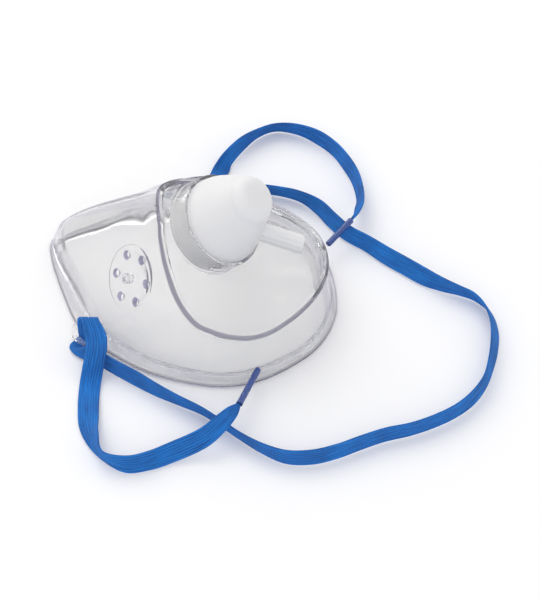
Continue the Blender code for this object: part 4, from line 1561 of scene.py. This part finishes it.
@dataclass
class Studio:
    """Pale floor, soft lamps and the camera at the photograph's angle."""

    azimuth_deg: float = -66.0
    elevation_deg: float = 47.0
    distance: float = 750.0
    target: tuple[float, float, float] = (6.6, -30.1, 0.0)
    lens: float = 123.7
    sensor_width: float = 36.0
    floor_half: float = 3000.0
    floor_drop: float = 0.12
    floor_colour: str = "#F4F4F6"
    # extra light that the eye gets from the floor, near the mask and far from it
    floor_lift: tuple[float, float] = (0.12, 0.5)
    floor_fade_m: tuple[float, float] = (0.3, 1.5)
    white: str = "#FFFFFF"
    sky_light: float = 0.71

    def camera(self) -> None:
        """Places the camera."""
        a, e = math.radians(self.azimuth_deg), math.radians(self.elevation_deg)
        back = Vector((math.sin(a) * math.cos(e), -math.cos(a) * math.cos(e), math.sin(e)))
        data = bpy.data.cameras.new("camera")
        data.lens = self.lens
        data.sensor_width = self.sensor_width
        camera = bpy.data.objects.new("camera", data)
        bpy.context.collection.objects.link(camera)
        camera.location = (Vector(self.target) + back * self.distance) * MM
        camera.rotation_mode = "QUATERNION"
        camera.rotation_quaternion = (-back).to_track_quat("-Z", "Y")
        bpy.context.scene.camera = camera

    def lamp(self, name: str, place: tuple[float, float, float], size: float, power: float,
             colour: str) -> None:
        """Adds a square soft lamp that faces the mask.

        Args:
            name: Lamp name.
            place: Position in metres.
            size: Side in metres.
            power: Strength in watts.
            colour: Colour of the light.
        """
        data = bpy.data.lights.new(name, "AREA")
        data.size = size
        data.energy = power
        data.color = srgb(colour)[:3]
        lamp = bpy.data.objects.new(name, data)
        bpy.context.collection.objects.link(lamp)
        lamp.location = place
        lamp.rotation_mode = "QUATERNION"
        lamp.rotation_quaternion = (-Vector(place)).to_track_quat("-Z", "Y")

    def eye_path(self, tree: bpy.types.NodeTree) -> bpy.types.NodeSocket:
        """Tells rays that reach the eye, straight, mirrored or through the shell, from light.

        Args:
            tree: Node tree that takes the nodes.

        Returns:
            Socket that gives 1 for such a ray and 0 for others.
        """
        path = add_node(tree, "ShaderNodeLightPath")
        seen = add_node(tree, "ShaderNodeMath", {
            0: path.outputs["Is Camera Ray"], 1: path.outputs["Is Glossy Ray"]},
            operation="MAXIMUM")
        seen_through = add_node(tree, "ShaderNodeMath", {
            0: seen.outputs[0], 1: path.outputs["Is Transmission Ray"]}, operation="MAXIMUM")
        return seen_through.outputs[0]

    def floor(self) -> None:
        """Lays the floor, which the camera sees a little brighter than the lamps make it."""
        half = self.floor_half * MM
        mesh = bpy.data.meshes.new("floor")
        mesh.from_pydata([(x, y, -self.floor_drop * MM) for x, y in
                          ((-half, -half), (half, -half), (half, half), (-half, half))],
                         [], [(0, 1, 2, 3)])
        floor = bpy.data.objects.new("floor", mesh)
        bpy.context.collection.objects.link(floor)
        material, tree, output = blank_material("pale_floor")
        lit = add_node(tree, "ShaderNodeBsdfDiffuse", {"Color": srgb(self.floor_colour)})
        # far from the lamps the floor fades into the white studio
        place = add_node(tree, "ShaderNodeTexCoord")
        away = add_node(tree, "ShaderNodeVectorMath", {0: place.outputs["Object"]}, operation="LENGTH")
        level = add_node(tree, "ShaderNodeMapRange", {
            "Value": away.outputs["Value"], "From Min": self.floor_fade_m[0],
            "From Max": self.floor_fade_m[1], "To Min": self.floor_lift[0],
            "To Max": self.floor_lift[1]})
        strength = add_node(tree, "ShaderNodeMath", {
            0: self.eye_path(tree), 1: level.outputs["Result"]}, operation="MULTIPLY")
        lift = add_node(tree, "ShaderNodeEmission", {
            "Color": srgb(self.white), "Strength": strength.outputs[0]})
        both = add_node(tree, "ShaderNodeAddShader", {
            0: lit.outputs["BSDF"], 1: lift.outputs["Emission"]})
        tree.links.new(both.outputs["Shader"], output.inputs["Surface"])
        mesh.materials.append(material)
        floor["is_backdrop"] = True

    def sky(self) -> None:
        """White studio all round, as seen and reflected, and a plain level of soft light."""
        world = bpy.data.worlds.new("studio")
        bpy.context.scene.world = world
        world.use_nodes = True
        tree = world.node_tree
        tree.nodes.clear()
        level = add_node(tree, "ShaderNodeMapRange", {
            "Value": self.eye_path(tree), "To Min": self.sky_light, "To Max": 1.0})
        light = add_node(tree, "ShaderNodeBackground", {
            "Color": srgb(self.white), "Strength": level.outputs["Result"]})
        output = add_node(tree, "ShaderNodeOutputWorld")
        tree.links.new(light.outputs["Background"], output.inputs["Surface"])

    def build(self) -> None:
        """Sets up the whole studio."""
        bpy.context.scene.view_settings.view_transform = "Standard"
        self.camera()
        self.floor()
        self.sky()
        self.lamp("key", place=(0.55, 0.75, 1.1), size=1.3, power=8.0, colour="#FFFDF8")
        self.lamp("fill", place=(-1.1, -0.6, 0.9), size=1.0, power=3.0, colour="#F6F8FF")
        log.info("studio: camera at azimuth %.0f, elevation %.0f", self.azimuth_deg, self.elevation_deg)


def corners() -> list[list[float]]:
    """Lowest and highest corner of the shown object, as plain lists."""
    return [list(corner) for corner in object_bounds()]


def main() -> None:
    """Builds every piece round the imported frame."""
    logging.basicConfig(level=logging.INFO, format="%(message)s")
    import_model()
    Studio().build()
    sleeve = TipVinyl().material()
    near = StrapTip("near_tip", "strap_tip_near", mouth=Vector((-48.7, -43.15, 7.5)),
                    end=Vector((-30.6, -42.2, 6.5)))
    far = StrapTip("far_tip", "strap_tip_far", mouth=Vector((48.3, -44.45, 8.8)),
                   end=Vector((33.9, -41.2, 8.0)))
    tips = [near.build(sleeve), far.build(sleeve)]
    HeadStrap().build(WovenElastic().material(), tips)
    clear_vinyl = ClearVinyl().material()
    # the rim and the bead are thick, so their tint is deeper and their edges draw a firmer line
    thick_vinyl = ClearVinyl(name="thick_vinyl", skin_tint="#ECEAF5", flange_painted_light="#EFEEF7",
                             ior=1.31).material()
    MaskShell().build(clear_vinyl, thick_vinyl, HoleVinyl().material())
    SwivelConnector().build(WhitePolyethylene().material())


if __name__ == "__main__":
    main()
